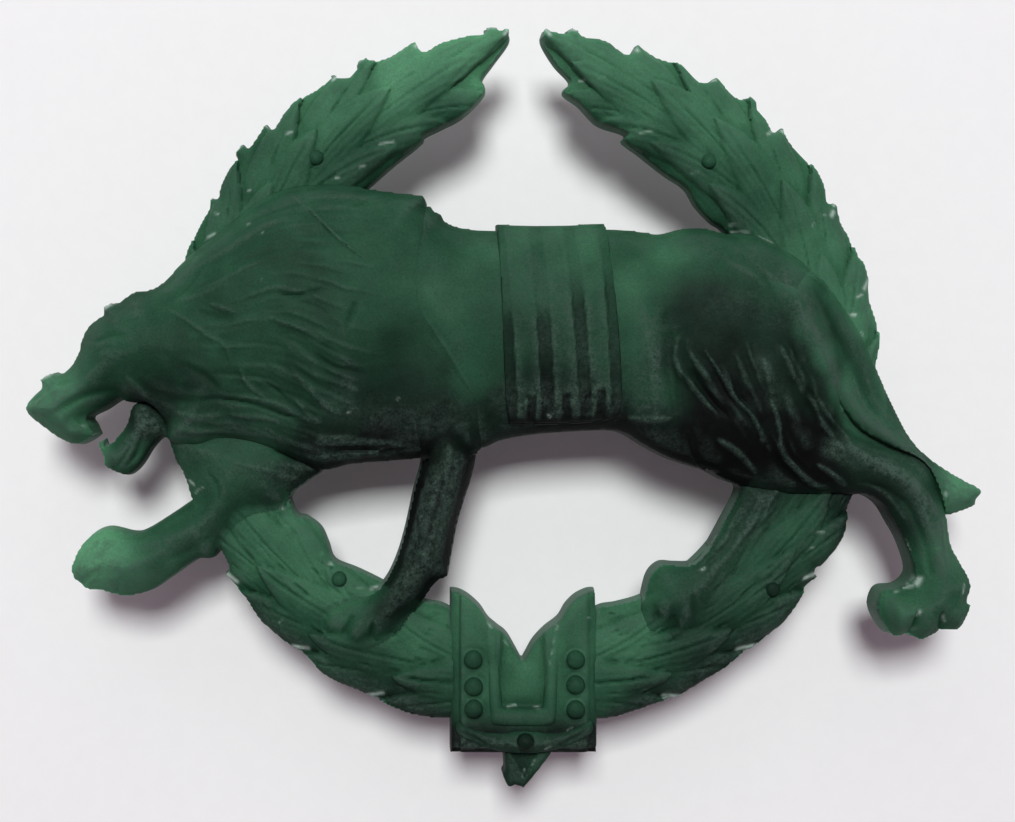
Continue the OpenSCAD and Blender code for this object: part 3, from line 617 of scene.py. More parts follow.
HAUNCH_STROKES = [
    (0.16, 0.22, [(7.65, 2.2), (7.45, 1.3), (7.7, 0.5), (8.2, -0.1), (8.8, -0.8), (9.6, -1.6)]),
    (0.18, 0.2, [(8.15, 1.5), (8.6, 0.8), (9.3, -0.1)]),
    (0.11, 0.18, [(8.9, 1.6), (9.7, 0.4), (10.4, -0.8), (11.2, -1.6), (11.8, -2.6), (12.0, -3.3)]),
    (0.17, 0.2, [(9.7, -3.0), (10.5, -3.5), (11.1, -4.0), (11.9, -4.8)]),
    (0.16, 0.26, [(12.8, -2.7), (13.1, -3.7), (13.7, -4.4), (14.4, -5.1), (15.1, -5.5), (15.8, -5.6)]),
    (0.14, 0.22, [(14.9, -4.3), (15.8, -4.9), (16.6, -5.5)]),
    (0.12, 0.16, [(12.8, 1.8), (13.2, 0.9), (13.5, 0.0)]),
    (0.16, 0.18, [(13.7, 1.0), (14.1, 0.1), (14.6, -0.7)]),
    (0.12, 0.14, [(14.7, -0.8), (15.2, -1.5), (15.9, -2.3)]),
    (0.14, 0.15, [(12.2, -0.8), (12.6, -1.8), (12.9, -3.0)]),
    (0.45, 0.16, [(11.9, 1.2), (12.2, 0.2), (12.4, -0.9)]),
    (0.2, -0.2, [(8.3, 0.6), (9.0, -0.6), (10.2, -1.9)]),
    (0.16, -0.18, [(12.5, -3.6), (13.3, -4.6), (14.6, -5.5)]),
    (0.16, -0.16, [(16.2, -2.4), (17.6, -3.2), (19.0, -3.6), (20.3, -4.1)]),
    (0.34, 0.2, [(15.6, -3.2), (17.4, -3.9), (19.0, -4.6), (20.3, -5.8), (21.2, -6.8), (21.5, -8.4)]),
    (0.14, -0.12, [(17.2, -5.2), (18.6, -5.6), (19.8, -6.6), (20.6, -8.4), (20.9, -10.0)]),
    (0.12, 0.1, [(17.4, -5.3), (18.6, -5.9), (19.7, -7.3)]),
]
SHANK_STROKES = [
    (0.22, 0.14, [(21.5, -7.2), (21.5, -8.6), (21.6, -10.0)]),
    (0.2, -0.16, [(20.9, -8.2), (20.9, -9.4), (21.0, -10.2)]),
    (0.13, -0.34, [(20.15, -11.9), (20.1, -12.6), (20.0, -13.5)]),
    (0.13, -0.34, [(21.45, -11.9), (21.5, -12.5), (21.6, -13.2)]),
    (0.36, 0.22, [(19.3, -11.6), (19.2, -12.4), (19.4, -13.1)]),
    (0.34, 0.18, [(20.8, -12.0), (20.8, -12.7), (20.7, -13.3)]),
    (0.34, 0.18, [(22.2, -11.9), (22.3, -12.4), (22.4, -12.9)]),
    (0.12, 0.12, [(22.7, -10.6), (22.5, -11.4), (22.2, -12.0)]),
]
TAIL_STROKES = [
    (0.42, 0.22, [(13.4, 4.8), (14.1, 3.2), (14.9, 1.8), (15.7, 0.6), (16.5, -0.8), (17.3, -1.9),
        (18.6, -2.9), (20.6, -3.9)]),
    (0.3, -0.14, [(14.9, 4.6), (16.0, 2.6), (16.9, 0.8), (17.8, -1.0)]),
    (0.1, 0.08, [(16.9, 0.2), (17.2, -0.9), (17.9, -2.0)]),
    (0.1, 0.08, [(17.5, 0.6), (17.9, -0.7), (18.7, -2.1)]),
    (0.1, -0.08, [(17.2, 0.3), (17.6, -0.9), (18.3, -2.1)]),
    (0.1, 0.08, [(19.3, -2.6), (20.4, -3.9), (21.8, -5.2), (23.0, -5.9)]),
    (0.55, -0.22, [(20.5, -4.3), (20.9, -4.9), (21.1, -5.6)]),
    (0.12, 0.1, [(21.5, -4.7), (21.8, -5.6), (21.9, -6.6)]),
]
FORELEG_STROKES = [
    (0.26, 0.18, [(-3.4, -3.6), (-3.7, -5.6), (-4.2, -7.6), (-4.6, -9.4)]),
    (0.2, -0.14, [(-4.2, -4.6), (-4.7, -6.8), (-5.3, -9.0)]),
    (0.2, 0.1, [(-5.3, -5.6), (-5.7, -7.6), (-6.3, -9.4)]),
    (0.18, -0.22, [(-8.9, -12.2), (-9.3, -13.0), (-9.7, -13.9)]),
    (0.16, -0.2, [(-7.9, -12.5), (-8.0, -13.2), (-8.1, -14.0)]),
    (0.3, 0.14, [(-9.7, -11.9), (-10.1, -12.5), (-10.2, -13.2)]),
    (0.26, 0.14, [(-8.5, -12.4), (-8.7, -13.1), (-8.9, -13.7)]),
]
FAR_FORELEG_STROKES = [
    (0.16, -0.14, [(-22.2, -9.9), (-22.8, -10.4), (-23.3, -10.8)]),
    (0.16, -0.12, [(-20.9, -10.2), (-21.2, -10.8), (-21.5, -11.3)]),
    (0.3, 0.1, [(-20.4, -8.8), (-18.6, -8.3), (-16.6, -7.4)]),
    (0.22, -0.1, [(-18.6, -9.4), (-17.4, -8.8), (-16.2, -8.0)]),
    (0.14, 0.08, [(-13.6, -4.6), (-12.6, -5.0), (-11.6, -5.2)]),
    (0.14, 0.08, [(-15.6, -4.0), (-14.0, -4.5), (-12.4, -4.8)]),
    (0.12, -0.08, [(-16.6, -4.6), (-16.0, -5.4), (-15.8, -6.4)]),
]
FAR_HIND_STROKES = [
    (0.2, -0.2, [(6.75, -11.7), (6.85, -12.4), (6.9, -13.2)]),
    (0.22, -0.22, [(7.7, -12.2), (7.8, -12.9), (7.9, -13.6)]),
    (0.2, -0.12, [(8.7, -11.0), (8.8, -12.0), (8.9, -12.8)]),
    (0.24, 0.1, [(7.2, -11.4), (7.3, -12.2), (7.35, -12.9)]),
    (0.14, 0.1, [(12.6, -6.4), (11.4, -8.0), (10.2, -9.7)]),
    (0.12, -0.1, [(12.0, -6.4), (10.9, -8.0), (9.9, -9.5)]),
    (0.12, -0.1, [(13.2, -6.8), (12.0, -8.4), (10.8, -10.2)]),
]
JAW_STROKES = [
    (0.1, -0.16, [(-19.9, -2.7), (-20.15, -3.4), (-20.4, -4.0), (-20.9, -4.6)]),
    (0.1, -0.14, [(-20.3, -3.0), (-20.7, -3.7), (-21.1, -4.3), (-21.6, -4.6)]),
    (0.16, 0.14, [(-20.9, -2.3), (-21.4, -3.1), (-21.9, -3.7)]),
    (0.14, 0.12, [(-19.6, -3.1), (-20.0, -3.9), (-20.5, -4.6)]),
]
SWAG_STROKES = [
    (0.12, -0.16, [(-3.4, -18.25), (-2.6, -18.6), (-1.7, -19.1)]),
    (0.12, -0.16, [(3.3, -18.2), (2.5, -18.6), (1.6, -19.1)]),
    (0.12, 0.1, [(-2.9, -18.2), (-1.6, -18.75), (0, -18.9), (1.5, -18.75), (2.8, -18.2)]),
]

# Swellings and hollows of the beast: (height, x, y, x radius, y radius, turn in degrees)
BODY_FORMS = [
    (0.50, -9.6, 2.6, 3.0, 4.2, -15),        # shoulder
    (0.40, -13.6, 3.6, 4.6, 3.4, 20),        # neck
    (0.30, -20.2, 2.2, 2.2, 1.5, 25),        # skull
    (0.14, -18.4, 0.6, 1.6, 1.2),            # cheek
    (0.22, -25.1, -1.2, 0.8, 0.9, 40),       # nose
    (0.06, -21.45, 1.32, 0.34, 0.26),        # eye
    (0.55, 1.5, 3.6, 6.5, 3.2),              # barrel
    (0.32, 10.8, 4.6, 3.4, 2.2, -15),        # rump
    (-0.30, 7.6, 0.4, 0.9, 3.0, 8),          # hollow before the haunch
    (-0.40, -7.2, -1.6, 1.3, 1.5),           # hollows behind the shoulder
    (-0.22, -6.2, 1.2, 1.2, 1.8, -30),
    (0.25, 12.2, 0.4, 2.4, 3.0, 20),         # haunch
]


def body_height(x, y, grow=0.0):
    """The beast's head, mane, barrel and rump as one continuous surface, so pieces meet without a step."""
    d = BODY.depth(x, y) + grow
    z = np.where(d > 0, 1.9 + 2.3 * dome(np.maximum(d, 0), 1.1), 1.9 + 2.0 * d)
    for height, *form in BODY_FORMS:
        z += height * bump(x, y, *form)
    z += add_strokes(x, y, HEAD_STROKES + MANE_STROKES + MANE_LOCKS + BELLY_LOCKS)
    z += add_strokes(x, y, FLANK_STROKES + HAUNCH_STROKES + HAUNCH_LOCKS + TAIL_STROKES)
    return over_wreath(x, y, z + hand_worked(x, y))


def out_of_body(x, y, z, body):
    """Lets a limb's surface grow out of the body's where it crosses it."""
    return np.where(body.depth(x, y) > -0.5, soft_max(z, body_height(x, y) + LIFT, BODY_BLEND), z)


def limb_height(x, y, shape, foot, rise, soft, strokes):
    """A limb: a rounded bar inside its own outline that grows out of the body where it crosses it."""
    own = foot + rise * dome(shape.deep(x, y), soft) + add_strokes(x, y, strokes) + hand_worked(x, y)
    return out_of_body(x, y, over_wreath(x, y, own), BODY)


def foreleg_top(x, y):
    rise = 2.1 - 1.0 * ramp(-y, 10.0, 12.5)                        # low over the wreath
    return limb_height(x, y, FORELEG, 1.5, rise, 0.8, FORELEG_STROKES)


def hind_leg_top(x, y):
    strokes = HAUNCH_STROKES + HAUNCH_LOCKS + SHANK_STROKES
    return limb_height(x, y, HIND_LEG, 1.9, 1.7, 1.1, strokes) + 0.25 * bump(x, y, 19.4, -12.2, 0.7, 0.9)


def tail_top(x, y):
    z = 1.8 + 1.15 * dome(TAIL.deep(x, y), 0.6) + add_strokes(x, y, TAIL_STROKES)
    return out_of_body(x, y, over_wreath(x, y, z + hand_worked(x, y)), TORSO)


def far_foreleg_top(x, y):
    z = 1.35 + 1.5 * dome(FAR_FORELEG.deep(x, y), 1.0)
    z += 0.30 * bump(x, y, -21.6, -9.3, 1.7, 1.3) + 0.12 * bump(x, y, -15.2, -5.6, 2.6, 1.4, 30)
    return over_wreath(x, y, z + add_strokes(x, y, FAR_FORELEG_STROKES) + hand_worked(x, y))


def far_hind_leg_top(x, y):
    z = 1.6 + 0.95 * dome(FAR_HIND_LEG.deep(x, y), 1.1)
    return over_wreath(x, y, z + add_strokes(x, y, FAR_HIND_STROKES + BRACED_LOCKS) + hand_worked(x, y))


def jaw_top(x, y):
    z = 1.2 + 1.35 * dome(JAW.deep(x, y), 0.8)
    return z + add_strokes(x, y, JAW_STROKES) + hand_worked(x, y)


def flat_back(x, y):
    return np.zeros_like(x)


def body_bottom(x, y):
    return np.where(on_wreath(x, y), WREATH_LAP, 0.0)


def limb_bottom(x, y):
    return np.where(BODY.depth(x, y) > 0, BODY_LAP, body_bottom(x, y))


# ---------------------------------------- the girth band's relief
# Each pleat: centre and half-width at y = 0, how its centre shifts per mm upward, and how high it stays wide.
PLEATS = [
    (-0.88, 0.28, -0.07, 2.9), (0.97, 0.33, -0.07, 3.3), (2.86, 0.30, -0.09, 4.4), (4.5, 0.29, -0.075, 5.2),
]
PLEAT_DEPTH = 0.16
SLOTS = [(0.2, 0.24, -0.75), (1.98, 0.22, -0.7), (3.75, 0.28, -0.4)]      # centre, half-width, top
SLOT_DEPTH = 0.22


def pleat_cut(x, y):
    """0 on the band's ribs, 1 in its sunk pleats; thin lines go on above each pleat."""
    cut = np.zeros_like(x)
    for centre, half, lean, top in PLEATS:
        off = np.abs(x - centre - lean * y)
        wide = 0.25 + 0.75 * ramp(-y, -top - 0.9, -top + 0.9)
        cut = np.maximum(cut, wide * ramp(-off, -half - 0.06, -half + 0.04) * ramp(y, -2.1, -1.4))
    return cut


def band_slots(x, y):
    """Short slots in the lower ends of the ribs, which band_shade paints dark as shade."""
    wander = 0.12 * noise(x, y, 0.5, 6.1)
    slot = np.zeros_like(x)
    for centre, half, top in SLOTS:
        across = ramp(-np.abs(x - centre + wander), -half - 0.07, -half + 0.05)
        slot = np.maximum(slot, across * ramp(-y, -top, 0.2 - top))
    return slot


def band_shade(x, y):
    # painted shade: darker in the sunk pleats, the slots and at the band's lower end; a little lighter lower
    # down where the edge frays
    wander = 0.25 * noise(x, y, 0.45, 3.3)
    ends = ramp(-y + wander, 1.45, 1.75)
    frayed = ramp(-y + wander, -0.4, 0.2)
    return -0.17 * pleat_cut(x, y) - 0.36 * np.maximum(ends, band_slots(x, y)) + 0.03 * frayed


def band_top(x, y):
    z = body_height(x, y, grow=0.38) + 0.22
    z -= PLEAT_DEPTH * pleat_cut(x, y)
    z -= SLOT_DEPTH * band_slots(x, y) + 0.25 * ramp(-y, 1.5, 2.4)
    z += 0.05 * noise(x, y, 0.35, 2.2) * ramp(-y, 0.0, 1.2)
    return z - 0.12 * np.exp(-BAND.deep(x, y) / 0.08)


def band_bottom(x, y):
    """Seated on the torso; past the torso's outline it stops a little above the badge's back."""
    return np.where(TORSO.depth(x, y) > 0, np.minimum(BAND_SEAT, body_height(x, y) - 0.05), 0.6)


# ---------------------------------------- the tie plate's relief
TIE_MIDDLE = -0.04         # the plate's centre line
MARGIN = 3.32              # from there to the line along each side


def tie_top(x, y):
    off = np.abs(x - TIE_MIDDLE)
    z = np.full_like(x, PLATE_TOP)
    z -= 0.16 * ramp(off, MARGIN - 0.04, MARGIN + 0.04)                 # side margins
    z -= 0.07 * np.exp(-((off - MARGIN) / 0.06) ** 2)
    panel = ramp(-np.abs(x + 0.12) - 0.07 * (y + 17), -1.45, -1.25) * ramp(y, -17.2, -17.0)
    z -= 0.32 * panel                                                   # sunk middle
    z -= 0.28 * ramp(-y, 19.12, 19.26)                                  # ledge at the foot
    for side in (-1, 1):                                                # lapels beside the notch
        z += 0.05 * stroke(x, y, [(side * 3.6, -11.3), (side * 2.5, -12.1), (side * 2.0, -13.2)], 0.35)
    for sx, sy in STUDS:                                                # ring round each stud
        z -= 0.05 * np.exp(-((np.hypot(x - sx, y - sy) - 0.62) / 0.12) ** 2)
    z -= 0.30 * np.exp(-TIE.deep(x, y) / 0.16)
    return z + 0.5 * hand_worked(x, y) + 0.03 * noise(x, y, 0.3, 8.8) * ramp(-y, 17.6, 18.4)


def tie_shade(x, y):
    # painted shade in the sunk side margins; also darker on the lapels beside the notch and toward the
    # plate's foot
    margins = ramp(np.abs(x - TIE_MIDDLE), 3.25, 3.4)
    lapels = bump(x, y, -2.2, -13.2, 0.5, 1.2) + bump(x, y, 2.2, -13.2, 0.5, 1.2)
    return -0.06 * margins - 0.04 * lapels - 0.20 * ramp(-y, 17.7, 18.4)


def frame_top(x, y):
    rise = 0.06 + 0.22 * ramp(-y, 12.9, 14.4)                           # lower toward its upper ends
    return PLATE_TOP - 0.02 + rise * dome(FRAME.deep(x, y), 0.14) + 0.4 * hand_worked(x, y)


def swag_top(x, y):
    z = PLATE_TOP - 0.04 + 0.34 * dome(SWAG.deep(x, y), 0.24) + add_strokes(x, y, SWAG_STROKES)
    return z + 0.035 * noise(x, y, 0.3, 4.4) + 0.4 * hand_worked(x, y)


def tip_top(x, y):
    hollow = ramp(0.55 - np.abs(x + 0.02) / 1.35 - (-19.6 - y) * 0.42, 0, 0.12) * ramp(-y, 19.5, 19.62)
    return 1.75 - 0.35 * np.exp(-TIP.deep(x, y) / 0.14) - 0.25 * hollow + 0.4 * hand_worked(x, y)


def seat_on_plate(x, y):
    return np.full_like(x, PLATE_SEAT)


# ---------------------------------------- tone: how light the wax looks, 0 black to 1 pale, with painted light and shade in it
# (x, y, reach, tone): thin edges and paws are light, the thick belly, foreleg and haunch are near black. The
# wax's thickness gives part of this; the rest is painted shade on the belly, the lower sides and the lower
# wreath and tie plate, which face away from light from above, and a painted highlight on the band along the
# tail and the haunch's rear edge.
BEAST_TONES = [
    (-25.0, -1.2, 1.8, 0.74), (-23.6, -2.6, 1.4, 0.72), (-22.3, 1.8, 1.8, 0.47), (-20.6, 3.4, 2.0, 0.43),
    (-21.3, -0.3, 1.3, 0.36), (-19.2, 0.8, 1.6, 0.32), (-19.6, -1.6, 1.0, 0.13), (-18.0, 5.2, 1.4, 0.52),
    (-17.0, -0.9, 1.4, 0.24), (-17.0, -2.4, 1.2, 0.58), (-16.6, 3.6, 2.2, 0.36), (-14.0, 7.4, 2.4, 0.44),
    (-10.5, 9.4, 1.8, 0.38), (-6.6, 8.4, 2.2, 0.39), (-12.6, 4.8, 2.4, 0.37), (-8.2, 5.8, 2.2, 0.42),
    (-14.6, 0.6, 2.2, 0.38), (-11.0, 0.8, 2.0, 0.32), (-13.6, -2.4, 1.8, 0.36), (-9.2, -1.4, 1.2, 0.31),
    (-7.0, 2.0, 1.6, 0.36), (-8.0, 3.5, 1.2, 0.46), (-6.6, -0.5, 1.2, 0.24), (-6.6, -2.2, 0.9, 0.02),
    (-8.0, -2.9, 1.5, 0.0), (-4.6, -2.2, 1.3, 0.08), (-4.7, 0.3, 0.9, 0.27), (-2.7, 0.7, 0.8, 0.45),
    (-11.0, -3.9, 1.2, 0.1), (-8.0, -4.3, 1.2, 0.04), (-3.4, 5.6, 2.2, 0.49), (-2.4, 1.8, 1.4, 0.46),
    (-2.0, -2.2, 1.2, 0.12), (-3.0, -0.5, 0.8, 0.46), (1.5, 5.8, 3.2, 0.53), (1.5, 1.8, 2.6, 0.35),
    (1.5, -1.0, 1.4, 0.08), (1.6, -2.6, 1.3, 0.0), (4.4, -2.6, 1.2, 0.0), (6.6, -3.0, 1.3, 0.0),
    (6.2, 6.0, 2.2, 0.54), (6.0, 2.2, 1.3, 0.5), (6.2, -0.8, 1.2, 0.38), (7.6, 1.2, 1.1, 0.26),
    (9.8, 6.2, 2.0, 0.46), (12.6, 5.6, 1.8, 0.44), (8.8, 3.6, 1.6, 0.19), (11.4, 3.4, 1.8, 0.17),
    (9.6, 0.2, 1.5, 0.08), (11.0, -1.0, 0.8, 0.14), (12.4, 0.4, 1.2, 0.18), (10.6, -2.2, 1.5, 0.0),
    (9.2, -4.0, 1.5, 0.0), (12.6, -4.4, 1.6, 0.0), (14.6, -0.4, 1.3, 0.16), (14.4, -2.8, 1.4, 0.07),
    (15.6, -5.2, 1.2, 0.05), (17.6, -4.2, 1.2, 0.28), (17.8, -5.8, 1.0, 0.12), (20.0, -5.6, 1.2, 0.3),
    (20.2, -7.6, 1.0, 0.28), (21.6, -8.0, 1.2, 0.76), (21.4, -10.4, 1.4, 0.54), (19.2, -12.2, 1.3, 0.62),
    (21.6, -12.4, 1.3, 0.5), (14.3, 2.7, 0.6, 0.46), (15.2, 1.0, 0.6, 0.6), (16.2, -0.5, 0.7, 0.74),
    (17.3, -2.1, 0.6, 0.62), (18.8, -3.2, 0.6, 0.46), (-20.6, -3.8, 0.8, 0.44),
]
TAIL_TONES = [
    (13.6, 4.6, 1.2, 0.46), (14.8, 2.2, 0.9, 0.5), (16.6, 3.6, 1.4, 0.38), (16.1, -0.3, 0.9, 0.7),
    (17.6, 0.6, 1.3, 0.36), (17.2, -2.0, 1.0, 0.58), (19.2, -2.8, 1.2, 0.54), (20.8, -4.9, 0.9, 0.4),
    (22.6, -5.8, 1.2, 0.84), (23.4, -6.0, 1.0, 0.78), (18.8, -1.2, 0.8, 0.5),
]
FORELEG_TONES = [
    (-4.4, -1.6, 1.4, 0.02), (-4.2, -5.0, 1.8, 0.0), (-5.0, -8.6, 1.8, 0.0), (-6.6, -11.6, 1.4, 0.08),
    (-8.2, -12.9, 1.0, 0.4), (-10.0, -12.6, 1.1, 0.54), (-9.2, -11.6, 0.7, 0.46), (-3.6, -6.6, 0.6, 0.02),
]
FAR_FORELEG_TONES = [
    (-22.2, -9.0, 1.6, 1.06), (-23.2, -10.0, 1.0, 0.78), (-20.6, -10.6, 1.2, 0.6), (-19.4, -8.6, 1.6, 0.52),
    (-17.4, -7.6, 1.6, 0.44), (-16.2, -5.6, 1.8, 0.44), (-17.8, -4.4, 1.0, 0.42), (-13.6, -5.4, 1.4, 0.34),
    (-11.6, -5.0, 1.0, 0.14), (-14.4, -3.8, 1.2, 0.44), (-17.2, -9.2, 0.8, 0.4), (-13.0, -6.6, 0.8, 0.26),
]
FAR_HIND_TONES = [
    (12.2, -6.2, 1.2, 0.14), (11.0, -8.0, 1.3, 0.34), (9.2, -9.8, 1.2, 0.38), (7.2, -10.6, 1.0, 0.49),
    (8.6, -11.8, 1.0, 0.3), (7.4, -12.8, 0.8, 0.2), (12.8, -7.0, 0.9, 0.36), (10.4, -10.6, 0.9, 0.38),
]
WREATH_TONES = [
    (-2.0, 17.6, 2.4, 0.88), (-6.0, 15.6, 2.4, 0.86), (-10.0, 14.2, 2.4, 0.66), (-13.4, 11.2, 2.4, 0.55),
    (-16.2, 8.4, 2.0, 0.55), (-4.6, 14.4, 1.4, 0.43), (-8.6, 11.8, 1.6, 0.39), (-7.0, 12.4, 0.9, 0.55),
    (-9.2, 10.6, 0.9, 0.55), (-13.6, -8.4, 2.0, 0.66), (-11.8, -10.2, 1.6, 0.63), (-9.0, -10.3, 1.0, 0.61),
    (-13.6, -12.0, 1.3, 0.31), (-11.0, -13.8, 1.4, 0.36), (-8.4, -15.2, 1.4, 0.31), (-5.6, -13.4, 1.6, 0.59),
    (-5.4, -15.6, 1.3, 0.41), (-6.2, -17.0, 1.1, 0.15), (-16.2, -9.0, 1.2, 0.5), (-4.4, -12.6, 1.0, 0.57),
    (2.0, 17.4, 2.2, 0.74), (5.6, 15.6, 2.2, 0.74), (4.4, 14.4, 1.2, 0.45), (9.6, 13.6, 2.2, 0.68),
    (11.0, 12.0, 1.0, 0.68), (7.4, 12.6, 1.2, 0.43), (10.6, 10.2, 1.5, 0.52), (13.6, 10.2, 2.0, 0.57),
    (16.2, 6.6, 1.8, 0.68), (18.0, 3.0, 1.4, 0.74), (13.2, 8.2, 1.4, 0.53), (11.6, 9.0, 1.0, 0.37),
    (5.4, -13.0, 1.6, 0.64), (4.8, -15.4, 1.3, 0.52), (8.4, -14.2, 1.4, 0.34), (6.0, -16.8, 1.1, 0.18),
    (9.6, -15.6, 1.2, 0.16), (12.0, -13.0, 1.4, 0.3), (11.6, -10.6, 1.4, 0.42), (14.2, -8.4, 1.6, 0.44),
    (14.6, -7.4, 0.8, 0.6), (15.8, -9.2, 1.2, 0.3), (16.6, -7.0, 1.0, 0.12), (14.0, -11.4, 1.2, 0.26),
    (14.2, -6.6, 1.2, 0.34),
]
TIE_TONES = [
    (-2.8, -12.6, 1.4, 0.62), (-2.8, -15.8, 1.4, 0.52), (2.8, -12.6, 1.4, 0.64), (2.6, -15.8, 1.4, 0.55),
    (-0.1, -15.4, 1.1, 0.59), (0.6, -13.9, 0.7, 0.55), (0.0, -17.6, 0.9, 0.44), (-2.8, -18.6, 1.0, 0.27),
    (2.8, -18.6, 1.0, 0.25), (0.0, -19.0, 0.9, 0.22), (-0.2, -20.8, 1.0, 0.22), (0.8, -20.2, 0.5, 0.3),
    (-1.6, -18.6, 0.8, 0.24), (1.6, -18.6, 0.8, 0.22),
]
LIMB_TONES = [TAIL_TONES, FORELEG_TONES, FAR_HIND_TONES]

# Where light comes through the side walls: (x, y, reach, share)
PALE_WALLS = [
    (-11.2, -7.2, 1.2, 0.9), (-9.0, -9.8, 1.2, 0.9), (-6.6, -11.2, 1.0, 0.9), (-4.6, -11.8, 0.8, 0.8),
    (4.6, -11.9, 0.8, 0.8), (6.2, -11.4, 0.8, 0.9), (-6.2, -7.2, 0.8, 1.0), (-5.9, -5.4, 0.8, 0.8),
    (-6.9, -9.6, 0.8, 1.0), (-3.2, -6.6, 0.7, 0.7), (-3.8, -8.8, 0.7, 0.8), (-4.6, -10.8, 0.6, 0.5),
    (10.6, -7.2, 0.9, 0.9), (8.9, -9.5, 0.9, 1.0), (7.0, -9.7, 0.9, 1.0), (6.2, -11.6, 0.8, 0.9),
    (18.4, -12.2, 0.8, 0.9), (18.7, -10.9, 0.8, 0.7), (20.0, -9.6, 0.8, 0.4), (-0.1, -14.4, 0.8, 1.0),
    (-2.0, -12.2, 0.8, 1.0), (1.9, -12.2, 0.8, 1.0), (-3.5, -11.0, 0.6, 0.9), (3.4, -11.0, 0.6, 0.9),
    (-22.4, -3.6, 0.5, 0.9), (-23.2, -9.6, 1.0, 0.5), (23.0, -11.6, 1.0, 0.4), (-1.0, 18.0, 0.6, 0.8),
    (1.2, 18.0, 0.6, 0.8), (-9.4, 16.0, 0.8, 0.6), (18.3, 4.6, 0.8, 0.7), (16.2, 9.2, 0.8, 0.6),
    (0.0, 9.0, 3.0, 0.05), (0.0, -2.8, 3.0, 0.0), (8.0, -4.2, 2.0, 0.0), (14.0, -5.6, 2.0, 0.0),
    (-8.0, -4.4, 2.0, 0.05), (-20.8, -1.1, 1.2, 0.05), (-25.0, -2.4, 1.2, 0.25), (-20.6, -4.8, 1.2, 0.1),
    (0.0, -19.6, 2.0, 0.05), (-14.0, -13.0, 2.0, 0.1), (14.0, -13.0, 2.0, 0.1), (-5.0, 12.6, 1.6, 0.1),
    (5.0, 12.6, 1.6, 0.1), (-10.0, 9.0, 1.6, 0.05), (10.0, 9.0, 1.6, 0.05), (20.6, -4.4, 1.6, 0.1),
    (17.8, -6.2, 1.4, 0.05), (-18.6, -6.8, 1.2, 0.2), (-16.6, -9.4, 1.2, 0.15), (-14.0, -7.0, 1.2, 0.1),
]

